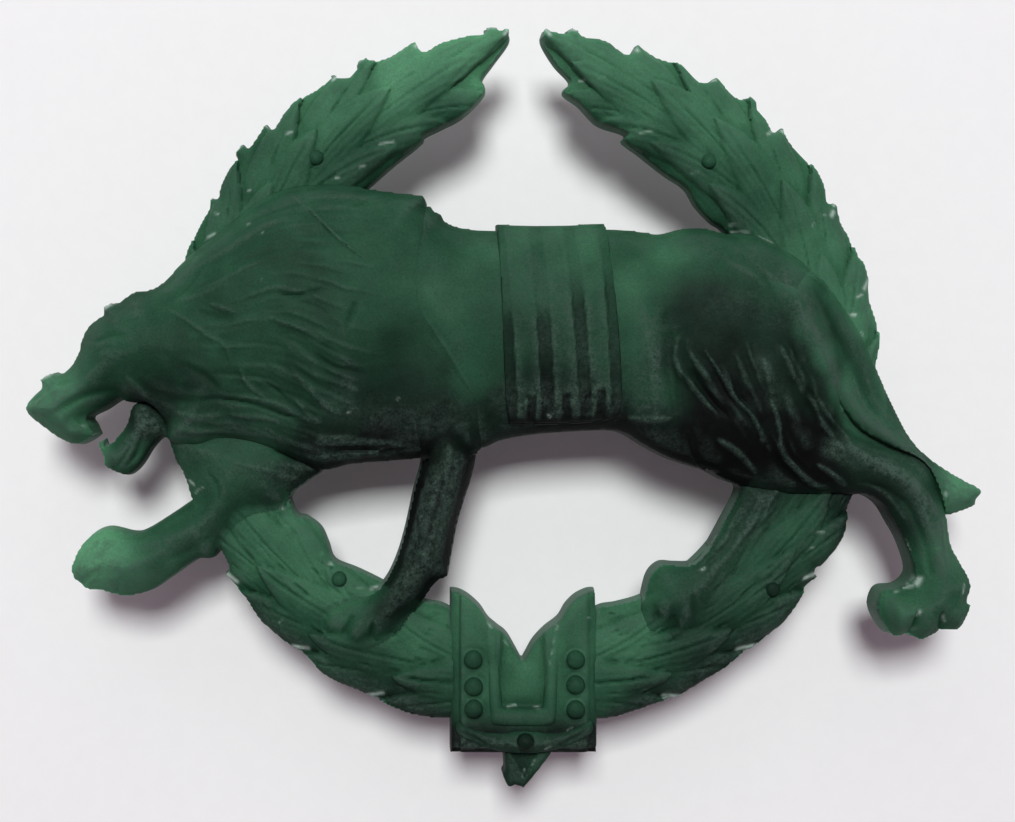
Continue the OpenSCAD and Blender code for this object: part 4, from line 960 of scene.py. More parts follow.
# Small pale chips where the wax is nicked: (x, y, length, direction in degrees, width)
CHIPS = [
    (-16.4, 7.55, 0.5, 25, 0.1), (-16.1, 8.7, 0.25, -20, 0.08), (-14.4, 9.9, 0.12, 0, 0.08),
    (-14.3, 8.0, 0.1, 0, 0.08), (-13.5, 7.5, 0.12, 60, 0.06), (-13.45, 5.1, 0.1, 80, 0.05),
    (-8.5, 11.15, 0.35, 15, 0.08), (-9.8, 10.55, 0.2, 0, 0.09), (-12.3, 12.9, 0.3, 20, 0.1),
    (-9.95, 15.9, 0.35, 55, 0.14), (-5.65, 17.6, 0.35, 60, 0.14), (-1.7, 18.45, 0.6, 5, 0.14),
    (-8.6, 16.75, 0.35, 20, 0.1), (-13.5, 13.4, 0.25, -30, 0.14), (-15.0, 12.3, 0.35, 50, 0.12),
    (-16.4, 9.6, 0.3, -5, 0.1), (-0.95, 18.2, 0.5, 60, 0.14), (1.2, 18.2, 0.5, -60, 0.14),
    (2.6, 18.35, 0.6, -5, 0.14), (5.85, 17.4, 0.4, -60, 0.16), (9.9, 15.75, 0.4, 10, 0.12),
    (12.85, 12.95, 0.45, 35, 0.1), (13.6, 13.15, 0.3, -50, 0.14), (11.75, 14.9, 0.2, 0, 0.08),
    (16.3, 9.3, 0.35, 70, 0.14), (16.1, 8.7, 0.3, 60, 0.16), (15.0, 8.1, 0.25, 60, 0.06),
    (15.6, 8.6, 0.2, 30, 0.07), (17.9, 5.0, 0.6, 60, 0.16), (17.5, 4.4, 0.35, 30, 0.1),
    (17.15, 3.4, 0.25, 0, 0.12), (17.65, 2.4, 0.3, -60, 0.07), (3.0, 15.7, 0.3, 0, 0.08),
    (4.0, 15.75, 0.5, 10, 0.05), (6.3, 12.95, 0.8, 10, 0.07), (8.9, 10.85, 0.5, 5, 0.06),
    (10.9, 8.15, 0.15, 0, 0.09), (11.3, 7.75, 1.0, -3, 0.08), (12.6, 7.3, 0.9, -25, 0.07),
    (-7.2, 12.4, 0.9, 10, 0.09), (-17.4, -5.35, 0.35, -35, 0.1), (-17.1, -5.8, 0.4, 50, 0.07),
    (-16.8, -5.6, 0.25, 30, 0.06), (-15.45, -10.35, 1.0, -35, 0.17), (-11.75, -14.05, 1.0, -3, 0.16),
    (-7.8, -16.5, 0.9, 15, 0.15), (-10.15, -9.6, 0.15, 0, 0.1), (-7.85, -10.9, 0.5, 15, 0.1),
    (-8.6, -10.85, 0.3, 5, 0.06), (-12.7, -6.7, 0.1, 0, 0.09), (-12.75, -12.6, 0.15, 60, 0.06),
    (-9.75, -10.5, 0.1, 0, 0.06), (15.1, -10.25, 1.0, 18, 0.17), (11.65, -14.05, 1.1, 8, 0.17),
    (7.7, -16.6, 1.0, -8, 0.15), (15.4, -7.95, 0.4, 0, 0.08), (15.0, -8.75, 0.25, 20, 0.06),
    (12.8, -10.55, 0.2, 0, 0.05), (9.3, -9.85, 0.25, 30, 0.09), (-4.9, 9.2, 0.2, -60, 0.14),
    (-1.7, 7.95, 0.3, 10, 0.1), (-21.7, 3.85, 0.45, 35, 0.16), (-24.95, 0.2, 0.5, 25, 0.16),
    (-22.9, -2.4, 0.2, -10, 0.07), (-22.2, -3.2, 0.25, -40, 0.1), (1.15, -1.85, 0.15, -30, 0.08),
    (-9.1, -1.65, 0.08, 0, 0.08), (-6.6, -0.95, 0.15, 40, 0.06), (21.7, -5.9, 0.2, 80, 0.1),
    (20.4, -10.45, 0.4, 60, 0.16), (19.9, -10.75, 0.5, 10, 0.1), (19.9, -8.6, 0.7, -70, 0.07),
    (19.3, -11.0, 0.4, 20, 0.07), (20.2, -12.0, 0.3, 60, 0.1), (21.6, -12.3, 0.5, -70, 0.08),
    (20.15, -12.9, 0.25, 50, 0.06), (22.65, -10.8, 0.5, 75, 0.08), (1.65, -12.9, 0.25, 80, 0.07),
    (1.5, -13.5, 0.35, 80, 0.05), (1.4, -14.1, 0.35, 75, 0.06), (1.25, -14.7, 0.3, 70, 0.05),
    (-0.7, -17.0, 0.5, 12, 0.08), (0.6, -17.05, 0.3, -10, 0.07), (-3.0, -19.2, 0.8, 0, 0.05),
    (2.7, -19.2, 0.8, 0, 0.05), (1.15, -19.1, 0.25, 30, 0.07), (-0.05, -20.55, 0.4, 75, 0.06),
    (0.45, -20.0, 0.4, 60, 0.05), (2.3, -18.15, 0.3, 30, 0.05), (-1.85, -12.75, 0.35, -60, 0.09),
    (-1.0, -13.7, 0.3, -55, 0.07), (3.3, -12.35, 0.1, 0, 0.06), (3.9, -12.2, 0.15, 90, 0.06),
]

# Scuffed, greyed places, which also carry painted sheen, such as the painted highlight along the tail's
# ridge: (reach, amount, points along it)
SCUFF_AND_SHEEN_LINES = [
    (0.9, 0.9, [(-19.4, -1.4), (-19.3, -2.6)]), (1.0, 0.8, [(-17.6, -2.6), (-15.4, -2.4), (-13.6, -3.0)]),
    (0.8, 0.8, [(-16.6, -4.2), (-14.4, -4.6), (-12.2, -5.1)]), (0.6, 0.7, [(-21.0, -3.9), (-20.2, -2.6)]),
    (0.8, 0.5, [(-10.6, -3.6), (-8.4, -3.6), (-6.4, -3.7)]),
    (0.9, 0.8, [(-9.6, -1.2), (-7.8, -1.8), (-5.6, -2.1), (-3.4, -1.7)]),
    (1.0, 0.9, [(-1.0, -0.9), (0.9, -0.9), (2.8, -0.7), (4.4, -0.9)]),
    (1.0, 1.3, [(6.2, 2.8), (6.3, 0.6), (6.1, -1.4)]), (1.8, 0.9, [(0.4, 5.6), (1.2, 3.2), (3.2, 1.4)]),
    (0.8, 0.5, [(8.6, 6.6), (10.6, 6.4), (12.6, 5.6)]),
    (0.65, 1.7, [(13.0, 5.2), (14.0, 3.2), (15.0, 1.5), (16.2, -0.4), (17.3, -1.9), (19.2, -3.0),
        (20.7, -3.9)]),
    (0.6, 1.3, [(15.8, -3.5), (17.6, -3.9), (19.2, -4.8), (20.6, -6.2), (21.4, -7.6), (21.6, -9.2)]),
    (0.5, 0.8, [(11.9, 1.0), (12.3, 0.0), (12.6, -1.0)]), (0.9, 0.5, [(9.2, 3.8), (11.0, 3.9), (12.6, 3.2)]),
    (0.8, 0.6, [(-21.6, -10.7), (-20.0, -10.7), (-18.6, -9.9)]), (0.7, 0.5, [(-17.2, -9.0), (-16.0, -8.0)]),
    (0.5, 0.4, [(-4.2, -3.2), (-4.5, -5.6), (-5.2, -8.0), (-6.0, -9.8)]),
    (1.2, 0.8, [(12.6, -6.6), (11.2, -8.4), (9.8, -10.4)]),
    (0.5, 0.7, [(-7.6, 12.6), (-6.0, 12.9), (-4.8, 13.2)]), (0.5, 0.8, [(-9.7, 10.9), (-8.6, 11.3)]),
    (0.5, 0.6, [(-15.6, 8.4), (-14.4, 10.4)]), (0.6, 0.6, [(14.6, 8.6), (16.4, 8.0)]),
    (0.5, 0.7, [(17.2, 5.4), (18.1, 3.6), (18.3, 1.6)]), (0.6, 0.5, [(8.2, 11.6), (11.4, 8.6), (13.4, 7.4)]),
    (0.7, 0.7, [(-14.2, -12.4), (-11.4, -14.4), (-8.4, -16.0), (-5.4, -17.0)]),
    (0.5, 0.5, [(-13.6, -6.6), (-12.6, -6.6)]),
    (0.7, 0.7, [(14.8, -10.8), (12.2, -13.0), (9.4, -15.0), (6.0, -16.8)]),
    (0.7, 0.8, [(15.8, -7.4), (14.2, -9.2), (12.0, -11.2)]),
    (0.5, 0.9, [(-3.2, -18.6), (-1.2, -19.0), (1.2, -19.0), (3.2, -18.6)]),
    (0.4, 0.6, [(-3.0, -17.6), (-0.2, -17.7), (2.8, -17.6)]), (0.4, 0.6, [(-2.7, -13.0), (-2.9, -16.4)]),
    (0.4, 0.6, [(2.8, -13.0), (2.9, -16.4)]), (0.4, 0.7, [(-0.6, -20.2), (0.8, -20.0)]),
    (0.4, 0.6, [(-25.2, -0.9), (-24.2, -1.0)]), (0.5, 0.4, [(-12.0, 9.4), (-9.0, 9.7)]),
    (0.4, 0.5, [(-5.0, 6.6), (-4.2, 3.6), (-3.4, 1.4)]),
]


def tone_map(x, y, spots):
    """Blends the tones of nearby spots."""
    total, weight = np.zeros_like(x), np.full_like(x, 1e-9)
    for sx, sy, reach, tone in spots:
        squared = (x - sx) ** 2 + (y - sy) ** 2
        w = np.exp(-squared / reach ** 2) + 1e-5 / (0.3 + squared)
        total += w * tone
        weight += w
    return total / weight


def scuff_and_sheen_map(x, y):
    out = np.zeros_like(x)
    for reach, amount, points in SCUFF_AND_SHEEN_LINES:
        line = np.array(points, float)
        near = close_to(line, x, y, 2 * reach)
        if near.any():
            dist = nearest(segments_of(line, closed=False), x[near], y[near])[0]
            out[near] = np.maximum(out[near], amount * np.exp(-(dist / reach) ** 2))
    return out * (0.75 + 0.35 * noise(x, y, 0.5, 4.9))


def chip_map(x, y):
    out = np.zeros_like(x)
    for cx, cy, length, turn, width in CHIPS:
        u, v = turned(x, y, cx, cy, turn)
        length, width = 0.8 * length, 0.65 * width
        near = (np.abs(u) < length + 3 * width) & (np.abs(v) < 4 * width)
        if near.any():
            off = np.hypot(np.maximum(np.abs(u[near]) - length / 2, 0), v[near])
            strength = min(1, width / 0.08) ** 1.5
            out[near] = np.maximum(out[near], strength * np.exp(-(off / width) ** 2))
    return out


# ---------------------------------------- from height functions to closed meshes
WALL_ROWS = [0.0, 0.08, 0.3, 0.6, 0.88, 1.0]      # how far down a side wall each row of points lies
WALL_LEAN = [0.0, 0.35, 0.6, 0.8, 1.0, 0.75]      # and how much of its flare that row has
SIDES = ((0, 1), (0, -1), (1, 0), (-1, 0))


def box_blur(values, mask, radius):
    """Mean of the masked values within a square of the given radius in cells, passed twice."""
    total, weight = np.where(mask, values, 0.0), mask.astype(float)
    for _ in range(2):
        for axis in (0, 1):
            pads = [(radius + 1, radius) if k == axis else (0, 0) for k in (0, 1)]
            n = mask.shape[axis]
            first = np.arange(n)
            sums = []
            for a in (total, weight):
                c = np.cumsum(np.pad(a, pads), axis=axis)
                sums.append(np.take(c, 2 * radius + 1 + first, axis=axis) - np.take(c, first, axis=axis))
            total, weight = sums
    return total / np.maximum(weight, 1e-9)


def kept_cells(shape, gx, gy, covers):
    """The cells whose middle lies inside the outline and not too far under a covering piece."""
    cx, cy = (g.ravel() for g in np.meshgrid(gx[:-1] + STEP / 2, gy[:-1] + STEP / 2))
    keep = inside(shape.curve, cx, cy)
    for cover in covers:
        keep &= cover.depth(cx, cy) < TUCK
    keep = keep.reshape(len(gy) - 1, len(gx) - 1)
    a, b, c, d = keep[:-1, :-1], keep[:-1, 1:], keep[1:, :-1], keep[1:, 1:]
    for _ in range(3):                       # no two cells may touch only at a corner
        b |= a & d & ~b & ~c
        a |= b & c & ~a & ~d
    return keep


def snap_rim(shape, covers, x, y):
    """Moves rim points onto the outline, or onto the cut that goes under a covering piece."""
    d, qx, qy, _ = nearest(shape.segments, x, y)
    e = 0.05
    for cover in covers:
        gap = TUCK - cover.depth(x, y)
        cut = np.abs(gap) < np.abs(d)
        ux = (cover.depth(x + e, y) - cover.depth(x - e, y)) / (2 * e)
        uy = (cover.depth(x, y + e) - cover.depth(x, y - e)) / (2 * e)
        qx, qy = np.where(cut, x + gap * ux, qx), np.where(cut, y + gap * uy, qy)
        d = np.where(cut, gap, d)
    return qx, qy


def fitted_grid(shape, covers):
    """The grid's cells that the piece fills, its points in use, and where they stand: the rim on the outline
    and the points beside it evened out."""
    low, high = shape.curve.min(0) - STEP, shape.curve.max(0) + 2 * STEP
    gx, gy = np.arange(low[0], high[0], STEP), np.arange(low[1], high[1], STEP)
    keep = kept_cells(shape, gx, gy, covers)
    count = np.zeros((len(gy), len(gx)), int)
    for dj in (0, 1):
        for di in (0, 1):
            count[dj:dj + keep.shape[0], di:di + keep.shape[1]] += keep
    used = count > 0
    rim = used & (count < 4)
    X, Y = np.meshgrid(gx, gy)
    X[rim], Y[rim] = snap_rim(shape, covers, X[rim], Y[rim])
    beside = np.zeros_like(rim)
    for side in SIDES:
        beside |= np.roll(rim, side, (0, 1))
    beside &= used & ~rim
    for _ in range(2):
        for A in (X, Y):
            mean = sum(np.roll(A, side, (0, 1)) for side in SIDES) / 4
            A[beside] = mean[beside]
    return keep, used, X, Y


def lowered(x, y, z, covers, floor):
    """Takes a surface down to a flat seat where other pieces cover it, starting just inside their edges."""
    depth = np.max([c.depth(x, y) for c in covers], axis=0)
    z = np.where(depth > SINK_WIDTH, z - CLEARED, z)
    return np.where(depth > 0.1 + 1.6 * STEP, np.minimum(z, floor), z)


def corners_of(keep, used):
    """The numbers of each kept cell's four corner points, round the cell."""
    number = np.full(used.shape, -1)
    number[used] = np.arange(used.sum())
    j, i = np.nonzero(keep)
    return number[j, i], number[j, i + 1], number[j + 1, i + 1], number[j + 1, i]


def top_triangles(corners, x, y, z):
    """Two triangles for each cell, split along the flatter diagonal unless that leaves a sliver."""
    a, b, c, d = corners

    def area(p, q, r):
        return (x[q] - x[p]) * (y[r] - y[p]) - (x[r] - x[p]) * (y[q] - y[p])

    along_ac = np.minimum(area(a, b, c), area(a, c, d))
    along_bd = np.minimum(area(a, b, d), area(b, c, d))
    thin = np.minimum(along_ac, along_bd) < 0.4 * STEP ** 2
    use_ac = np.where(thin, along_ac > along_bd, np.abs(z[a] - z[c]) < np.abs(z[b] - z[d]))[:, None]
    first = np.where(use_ac, np.stack([a, b, c], 1), np.stack([a, b, d], 1))
    second = np.where(use_ac, np.stack([a, c, d], 1), np.stack([b, c, d], 1))
    return np.vstack([first, second])


def rim_edges(keep, corners):
    """The edges that only one cell has, with that cell on their left."""
    a, b, c, d = corners
    padded = np.pad(keep, 1)
    below, right = ~padded[:-2, 1:-1][keep], ~padded[1:-1, 2:][keep]
    above, left = ~padded[2:, 1:-1][keep], ~padded[1:-1, :-2][keep]
    return np.vstack([np.stack([a, b], 1)[below], np.stack([b, c], 1)[right],
                      np.stack([c, d], 1)[above], np.stack([d, a], 1)[left]])


def outward(x, y, edges, rim):
    """The direction in which the outline faces at each rim point."""
    out = np.zeros((len(x), 2))
    step = np.stack([x[edges[:, 1]] - x[edges[:, 0]], y[edges[:, 1]] - y[edges[:, 0]]], 1)
    for end in (0, 1):
        np.add.at(out, edges[:, end], np.stack([step[:, 1], -step[:, 0]], 1))
    return out[rim] / np.maximum(np.linalg.norm(out[rim], axis=1, keepdims=True), 1e-9)


def closed_body(x, y, z, z_low, top_faces, edges, rim, normal, flare):
    """Adds side walls and a bottom to a sculpted top: all points, all triangles, and which points lie inside
    the rim."""
    n, m = len(x), len(rim)
    order = np.full(n, -1)
    order[rim] = np.arange(m)

    def ring(row, ids):
        return ids if row == 0 else n + (row - 1) * m + order[ids]

    points = [np.stack([x, y, z], 1)]
    for down, lean in zip(WALL_ROWS[1:], WALL_LEAN[1:]):
        out = (flare * lean)[:, None] * normal
        points.append(np.stack([x[rim] + out[:, 0], y[rim] + out[:, 1],
                                z[rim] * (1 - down) + z_low[rim] * down], 1))
    faces = [top_faces]
    last_row = len(WALL_ROWS) - 1
    for row in range(last_row):
        p, q = ring(row, edges[:, 0]), ring(row, edges[:, 1])
        s, t = ring(row + 1, edges[:, 1]), ring(row + 1, edges[:, 0])
        faces += [np.stack([q, p, t], 1), np.stack([q, t, s], 1)]
    inner = np.ones(n, bool)
    inner[rim] = False
    under = np.where(inner, n + last_row * m + np.cumsum(inner) - 1, 0)
    under[rim] = ring(last_row, rim)
    points.append(np.stack([x[inner], y[inner], z_low[inner]], 1))
    faces.append(under[top_faces][:, ::-1])
    return np.vstack(points), np.vstack(faces), inner


def tone_at(x, y, shape, tones, within):
    """A piece's own tones, blended with those of what it grows out of or crosses."""
    tone = tone_map(x, y, tones)
    if tones in LIMB_TONES:                  # a limb takes on the body's tone where it grows out of it
        share = ramp(BODY.depth(x, y), -0.6, 0.8)
        tone = tone * (1 - share) + tone_map(x, y, BEAST_TONES) * share
    if tones is not WREATH_TONES:            # and near the leaves it crosses, a little of theirs
        share = 0.55 * (1 - ramp(within.depth(x, y), 0.0, 1.1)) * on_wreath(x, y)
        tone = tone * (1 - share) + tone_map(x, y, WREATH_TONES) * share
    return tone + 0.06 * noise(x, y, 2.3, 9.1) + 0.035 * noise(x, y, 0.8, 1.3)


def top_data(x, y, Z, used, shape, tones, shade):
    """What the wax looks like over the top: its tone with painted light and shade, where it is rubbed and
    carries painted sheen, the painted shade where it is sunk, and where it is chipped.
    """
    within = BODY if shape in (HEAD, TORSO) else shape
    proud = (Z - box_blur(Z, used, max(1, round(0.3 / STEP))))[used] / 0.06
    # painted light and shade: tops sloping toward +Y, where the light comes from, a little lighter, those
    # sloping the other way darker
    slope_to_light = -np.gradient(np.where(used, Z, box_blur(Z, used, 2)), STEP, axis=0)[used]
    tone = tone_at(x, y, shape, tones, within) + 0.04 * np.clip(slope_to_light, -1, 1)
    if shade:
        tone += shade(x, y)
    off_rim = ramp(within.depth(x, y), 0.05, 0.45)
    # real scuffing and painted sheen together: raised ridges and the listed lines turn grey
    scuff_and_sheen = 0.8 * np.clip(proud - 0.22, 0, 1) * off_rim + 0.7 * scuff_and_sheen_map(x, y)
    # painted shade: hollows lower than their surroundings are darkened
    crevice_shade = np.clip(-proud - 0.1, 0, 1) * off_rim
    return {"tone": tone, "scuff_and_sheen": scuff_and_sheen, "crevice_shade": crevice_shade, "chip": chip_map(x, y)}


def all_data(top, rim, inner, pale):
    """Carries the top's data down the walls and under the piece, and marks how pale the walls are."""
    rows = WALL_ROWS[1:]
    out = {}
    for key, v in top.items():
        fade = [max(0, 1 - 4 * down) if key == "chip" else 1 for down in rows]
        out[key] = np.concatenate([v] + [v[rim] * f for f in fade] + [v[inner] * fade[-1]])
    walls = [min(4 * down, 1) * pale for down in rows]
    out["wall"] = np.concatenate([np.zeros(len(inner))] + walls + [np.ones(inner.sum())])
    return out


def relief_piece(name, shape, top, bottom, tones, covers=(), seats=(), lies_on=(), shade=None, flare=FLARE):
    """A closed mesh: sculpted top, side walls that lean out a little, and a stepped or flat bottom.

    covers: pieces this one stops under; seats: (pieces, height) it is cut down for; lies_on: pieces whose
    surface it meets without a gap, so its walls stay upright there; shade: local change of tone, used to
    paint shade into recesses.
    """
    keep, used, X, Y = fitted_grid(shape, covers)
    x, y = X[used], Y[used]
    z_low, z = bottom(x, y), top(x, y)
    Z = np.zeros_like(X)
    Z[used] = z
    for pieces, seat in seats:
        z = lowered(x, y, z, pieces, seat)
    for under in lies_on:
        at_rim = 1 - ramp(shape.depth(x, y), 0.0, SINK_WIDTH)
        z = z - SINK * at_rim * ramp(under.depth(x, y), 0.1, 0.3)
    z = np.maximum(z, z_low + 0.05)

    corners = corners_of(keep, used)
    top_faces = top_triangles(corners, x, y, z)
    edges = rim_edges(keep, corners)
    rim = np.unique(edges)
    normal = outward(x, y, edges, rim)
    pale = tone_map(x[rim], y[rim], PALE_WALLS)
    flare = flare * (1 + WIDE_WALL * pale)
    for under in lies_on:
        flare *= 1 - ramp(under.depth(x[rim], y[rim]), -0.1, 0.3)
    x[rim] -= flare * normal[:, 0]
    y[rim] -= flare * normal[:, 1]
    points, faces, inner = closed_body(x, y, z, z_low, top_faces, edges, rim, normal, flare)
    data = top_data(x, y, Z, used, shape, tones, shade)
    return mesh_object(name, points, faces, all_data(data, rim, inner, pale))


def mesh_object(name, points, faces, values):
    """A Blender object from points in mm, triangles and the points' data."""
    me = bpy.data.meshes.new(name)
    me.vertices.add(len(points))
    me.vertices.foreach_set("co", (points * MM).astype(np.float32).ravel())
    me.loops.add(3 * len(faces))
    me.loops.foreach_set("vertex_index", faces.astype(np.int32).ravel())
    me.polygons.add(len(faces))
    me.polygons.foreach_set("loop_start", np.arange(0, 3 * len(faces), 3, dtype=np.int32))
    me.update(calc_edges=True)
    me.validate()
    for key, v in values.items():
        layer = me.attributes.new(key, "FLOAT", "POINT")
        layer.data.foreach_set("value", v.astype(np.float32))
    me.polygons.foreach_set("use_smooth", np.ones(len(me.polygons), bool))
    me.set_sharp_from_angle(angle=math.radians(50))
    ob = bpy.data.objects.new(name, me)
    bpy.context.scene.collection.objects.link(ob)
    return ob


BEAD_SIDES = 28
BEAD_PROFILE = [       # (share of the radius, share of the rise), from the foot up
    (1.0, -0.5), (1.0, 0.0), (0.97, 0.28), (0.88, 0.55), (0.72, 0.78), (0.5, 0.93), (0.26, 0.99),
]


def bead(x, y, seat, radius, rise):
    """A small closed lathe form, slightly out of round: its points and triangles."""
    n, rows = BEAD_SIDES, len(BEAD_PROFILE)
    k = np.arange(n)
    after = (k + 1) % n
    turn = 2 * np.pi * k / n
    points, faces = [], []
    for r, h in BEAD_PROFILE:
        own = radius * r * (1 + 0.02 * np.sin(3 * turn + x))
        ring = [x + own * np.cos(turn), y + own * np.sin(turn), np.full(n, seat + rise * h)]
        points.append(np.stack(ring, 1))
    points.append(np.array([[x, y, seat + rise], [x, y, seat - 0.5 * rise]]))
    for r in range(rows - 1):
        p, q = r * n + k, r * n + after
        faces += [np.stack([p, q, q + n], 1), np.stack([p, q + n, p + n], 1)]
    apex, foot = rows * n, rows * n + 1
    last = (rows - 1) * n
    faces.append(np.stack([last + k, last + after, np.full(n, apex)], 1))
    faces.append(np.stack([after, k, np.full(n, foot)], 1))
    return np.vstack(points), np.vstack(faces)


def beads(name, places, tones, darker):
    """Beads at (x, y, seat height, radius, rise), as one piece."""
    forms = [bead(*place) for place in places]
    points = np.vstack([p for p, _ in forms])
    faces = np.vstack([f + k * len(forms[0][0]) for k, (_, f) in enumerate(forms)])
    values = {key: np.zeros(len(points)) for key in ("scuff_and_sheen", "crevice_shade", "chip", "wall")}
    values["tone"] = tone_map(points[:, 0], points[:, 1], tones) - darker
    return mesh_object(name, points, faces, values)


# ---------------------------------------- materials
WAX_RAMP = [           # (tone, colour), from the thickest wax and deepest painted shade to the thin edges and painted light
    (0.0, (0.0034, 0.0040, 0.0040)), (0.25, (0.0078, 0.0235, 0.0148)), (0.5, (0.0192, 0.071, 0.0385)),
    (0.75, (0.054, 0.161, 0.091)), (1.0, (0.094, 0.278, 0.148)),
]
# tint that multiplies hollows darker and greener, as painted shade
CREVICE_SHADE_TINT = (0.42, 0.62, 0.50)
# grey of scuffed wax, also used as painted sheen on raised ridges
SCUFF_AND_SHEEN = (0.050, 0.084, 0.068)
CHIP = (0.36, 0.46, 0.41)
# painted light: the pale colour of light coming through thin side walls
WALL_GLOW = (0.170, 0.250, 0.210)
BRIGHT_BRASS = (0.72, 0.50, 0.20)
TARNISH = (0.36, 0.24, 0.10)
BACKDROP = (0.80, 0.80, 0.81)
FADE_FROM, FADE_TO = 0.07, 0.30      # metres from the badge


class Graph:
    """A material's node tree; numbers and colours given as inputs are set, sockets are linked."""

    def __init__(self, name):
        self.material = bpy.data.materials.new(name)
        self.material.use_nodes = True
        self.nodes = self.material.node_tree.nodes
        self.links = self.material.node_tree.links
        self.shader = self.nodes["Principled BSDF"]
        self.where = self.add("TexCoord").outputs["Object"]

    def feed(self, socket, value):
        if isinstance(value, (int, float)):
            socket.default_value = value
        elif isinstance(value, tuple):
            socket.default_value = (*value, 1)
        else:
            self.links.new(value, socket)

    def add(self, kind, inputs=None, **settings):
        node = self.nodes.new("ShaderNode" + kind)
        for key, value in settings.items():
            setattr(node, key, value)
        for key, value in (inputs or {}).items():
            self.feed(node.inputs[key], value)
        return node

    def math(self, operation, a, b, clamp=False):
        return self.add("Math", {0: a, 1: b}, operation=operation, use_clamp=clamp).outputs[0]

    def times_plus(self, value, factor, offset, clamp=False):
        return self.math("ADD", self.math("MULTIPLY", value, factor), offset, clamp)

    def mix(self, factor, a, b, blend="MIX"):
        node = self.add("Mix", data_type="RGBA", blend_type=blend, clamp_result=False)
        for index, value in ((0, factor), (6, a), (7, b)):
            self.feed(node.inputs[index], value)
        return node.outputs[2]

    def noise(self, scale, detail, rough):
        inputs = {"Scale": scale, "Detail": detail, "Roughness": rough, "Vector": self.where}
        return self.add("TexNoise", inputs).outputs["Fac"]

    def bump(self, height, strength, distance, under=None):
        inputs = {"Height": height, "Strength": strength, "Distance": distance}
        if under:
            inputs["Normal"] = under
        return self.add("Bump", inputs).outputs[0]

    def data(self, key):
        return self.add("Attribute", attribute_name=key).outputs["Fac"]


def tone_colour(g, cloud):
    """The wax's colour from its tone, a little cloudy."""
    wander = g.math("MULTIPLY", g.math("SUBTRACT", cloud, 0.5), 0.16)
    node = g.add("ValToRGB", {0: g.math("ADD", g.data("tone"), wander)})
    stops = node.color_ramp.elements
    for stop, (place, colour) in zip(stops, (WAX_RAMP[0], WAX_RAMP[-1])):
        stop.position = place
        stop.color = (*colour, 1)
    for place, colour in WAX_RAMP[1:-1]:
        stops.new(place).color = (*colour, 1)
    return node.outputs[0]


def wax(name, gloss, scuff_and_sheen_share):
    """Translucent green carving wax: dark where thick and where shade is painted in, greyed where it is
    rubbed and where sheen is painted, darker in hollows as painted shade, walls paled as painted light coming
    through, pale where it is nicked.
    """
    g = Graph(name)
    grain = g.noise(9000, 3.0, 0.7)
    clear = tone_colour(g, g.noise(900, 4.0, 0.6))
    # painted shade in hollows
    sunk = g.mix(g.math("MULTIPLY", g.data("crevice_shade"), 0.45), clear, g.mix(1.0, clear, CREVICE_SHADE_TINT, "MULTIPLY"))
    grained = g.mix(1.0, sunk, g.times_plus(grain, 0.9, 0.55), "MULTIPLY")
    speckle = g.times_plus(grain, 2.2, -0.4, True)
    patches = g.times_plus(g.noise(3200, 4.0, 0.75), 3.4, -1.05, True)
    # where the scuffing and painted sheen show, broken up by speckle and patches
    wear_and_sheen = g.math("MULTIPLY", g.data("scuff_and_sheen"), g.math("MULTIPLY", speckle, patches))
    sheen_scuff_amount = g.math("MULTIPLY", wear_and_sheen, scuff_and_sheen_share, True)
    # mixes in the grey of scuffing and painted sheen
    rubbed = g.mix(sheen_scuff_amount, grained, SCUFF_AND_SHEEN)
    # painted light: the walls are paled where light comes through them
    walled = g.mix(g.math("MULTIPLY", g.data("wall"), 0.55), rubbed, WALL_GLOW)
    nick = g.math("MULTIPLY", g.data("chip"), g.math("ADD", grain, 0.45), True)
    g.feed(g.shader.inputs["Base Color"], g.mix(nick, walled, CHIP))
    g.feed(g.shader.inputs["Roughness"], g.times_plus(sheen_scuff_amount, 0.3, gloss))
    g.shader.inputs["IOR"].default_value = 1.42
    g.shader.inputs["Specular IOR Level"].default_value = 0.06
    g.shader.inputs["Subsurface Weight"].default_value = 0.35
    g.shader.inputs["Subsurface Radius"].default_value = (0.35, 1.0, 0.6)
    g.shader.inputs["Subsurface Scale"].default_value = 0.0006
    fine = g.bump(grain, 0.35, 0.00004)
    g.feed(g.shader.inputs["Normal"], g.bump(g.noise(2600, 3.0, 0.55), 0.5, 0.00006, fine))
    return g.material


def brass():
    """Drawn and turned brass, lightly dulled, with fine tool lines and darker tarnish in patches."""
    g = Graph("dull_brass")
    g.feed(g.shader.inputs["Base Color"], g.mix(g.noise(700, 5.0, 0.65), BRIGHT_BRASS, TARNISH))
    g.shader.inputs["Metallic"].default_value = 1.0
    g.feed(g.shader.inputs["Roughness"], g.times_plus(g.noise(5000, 3.0, 0.6), 0.25, 0.24))
    lines = g.add("TexWave", {"Scale": 3200, "Distortion": 1.5, "Vector": g.where}, bands_direction="Z")
    g.feed(g.shader.inputs["Normal"], g.bump(lines.outputs["Fac"], 0.25, 0.00002))
    return g.material


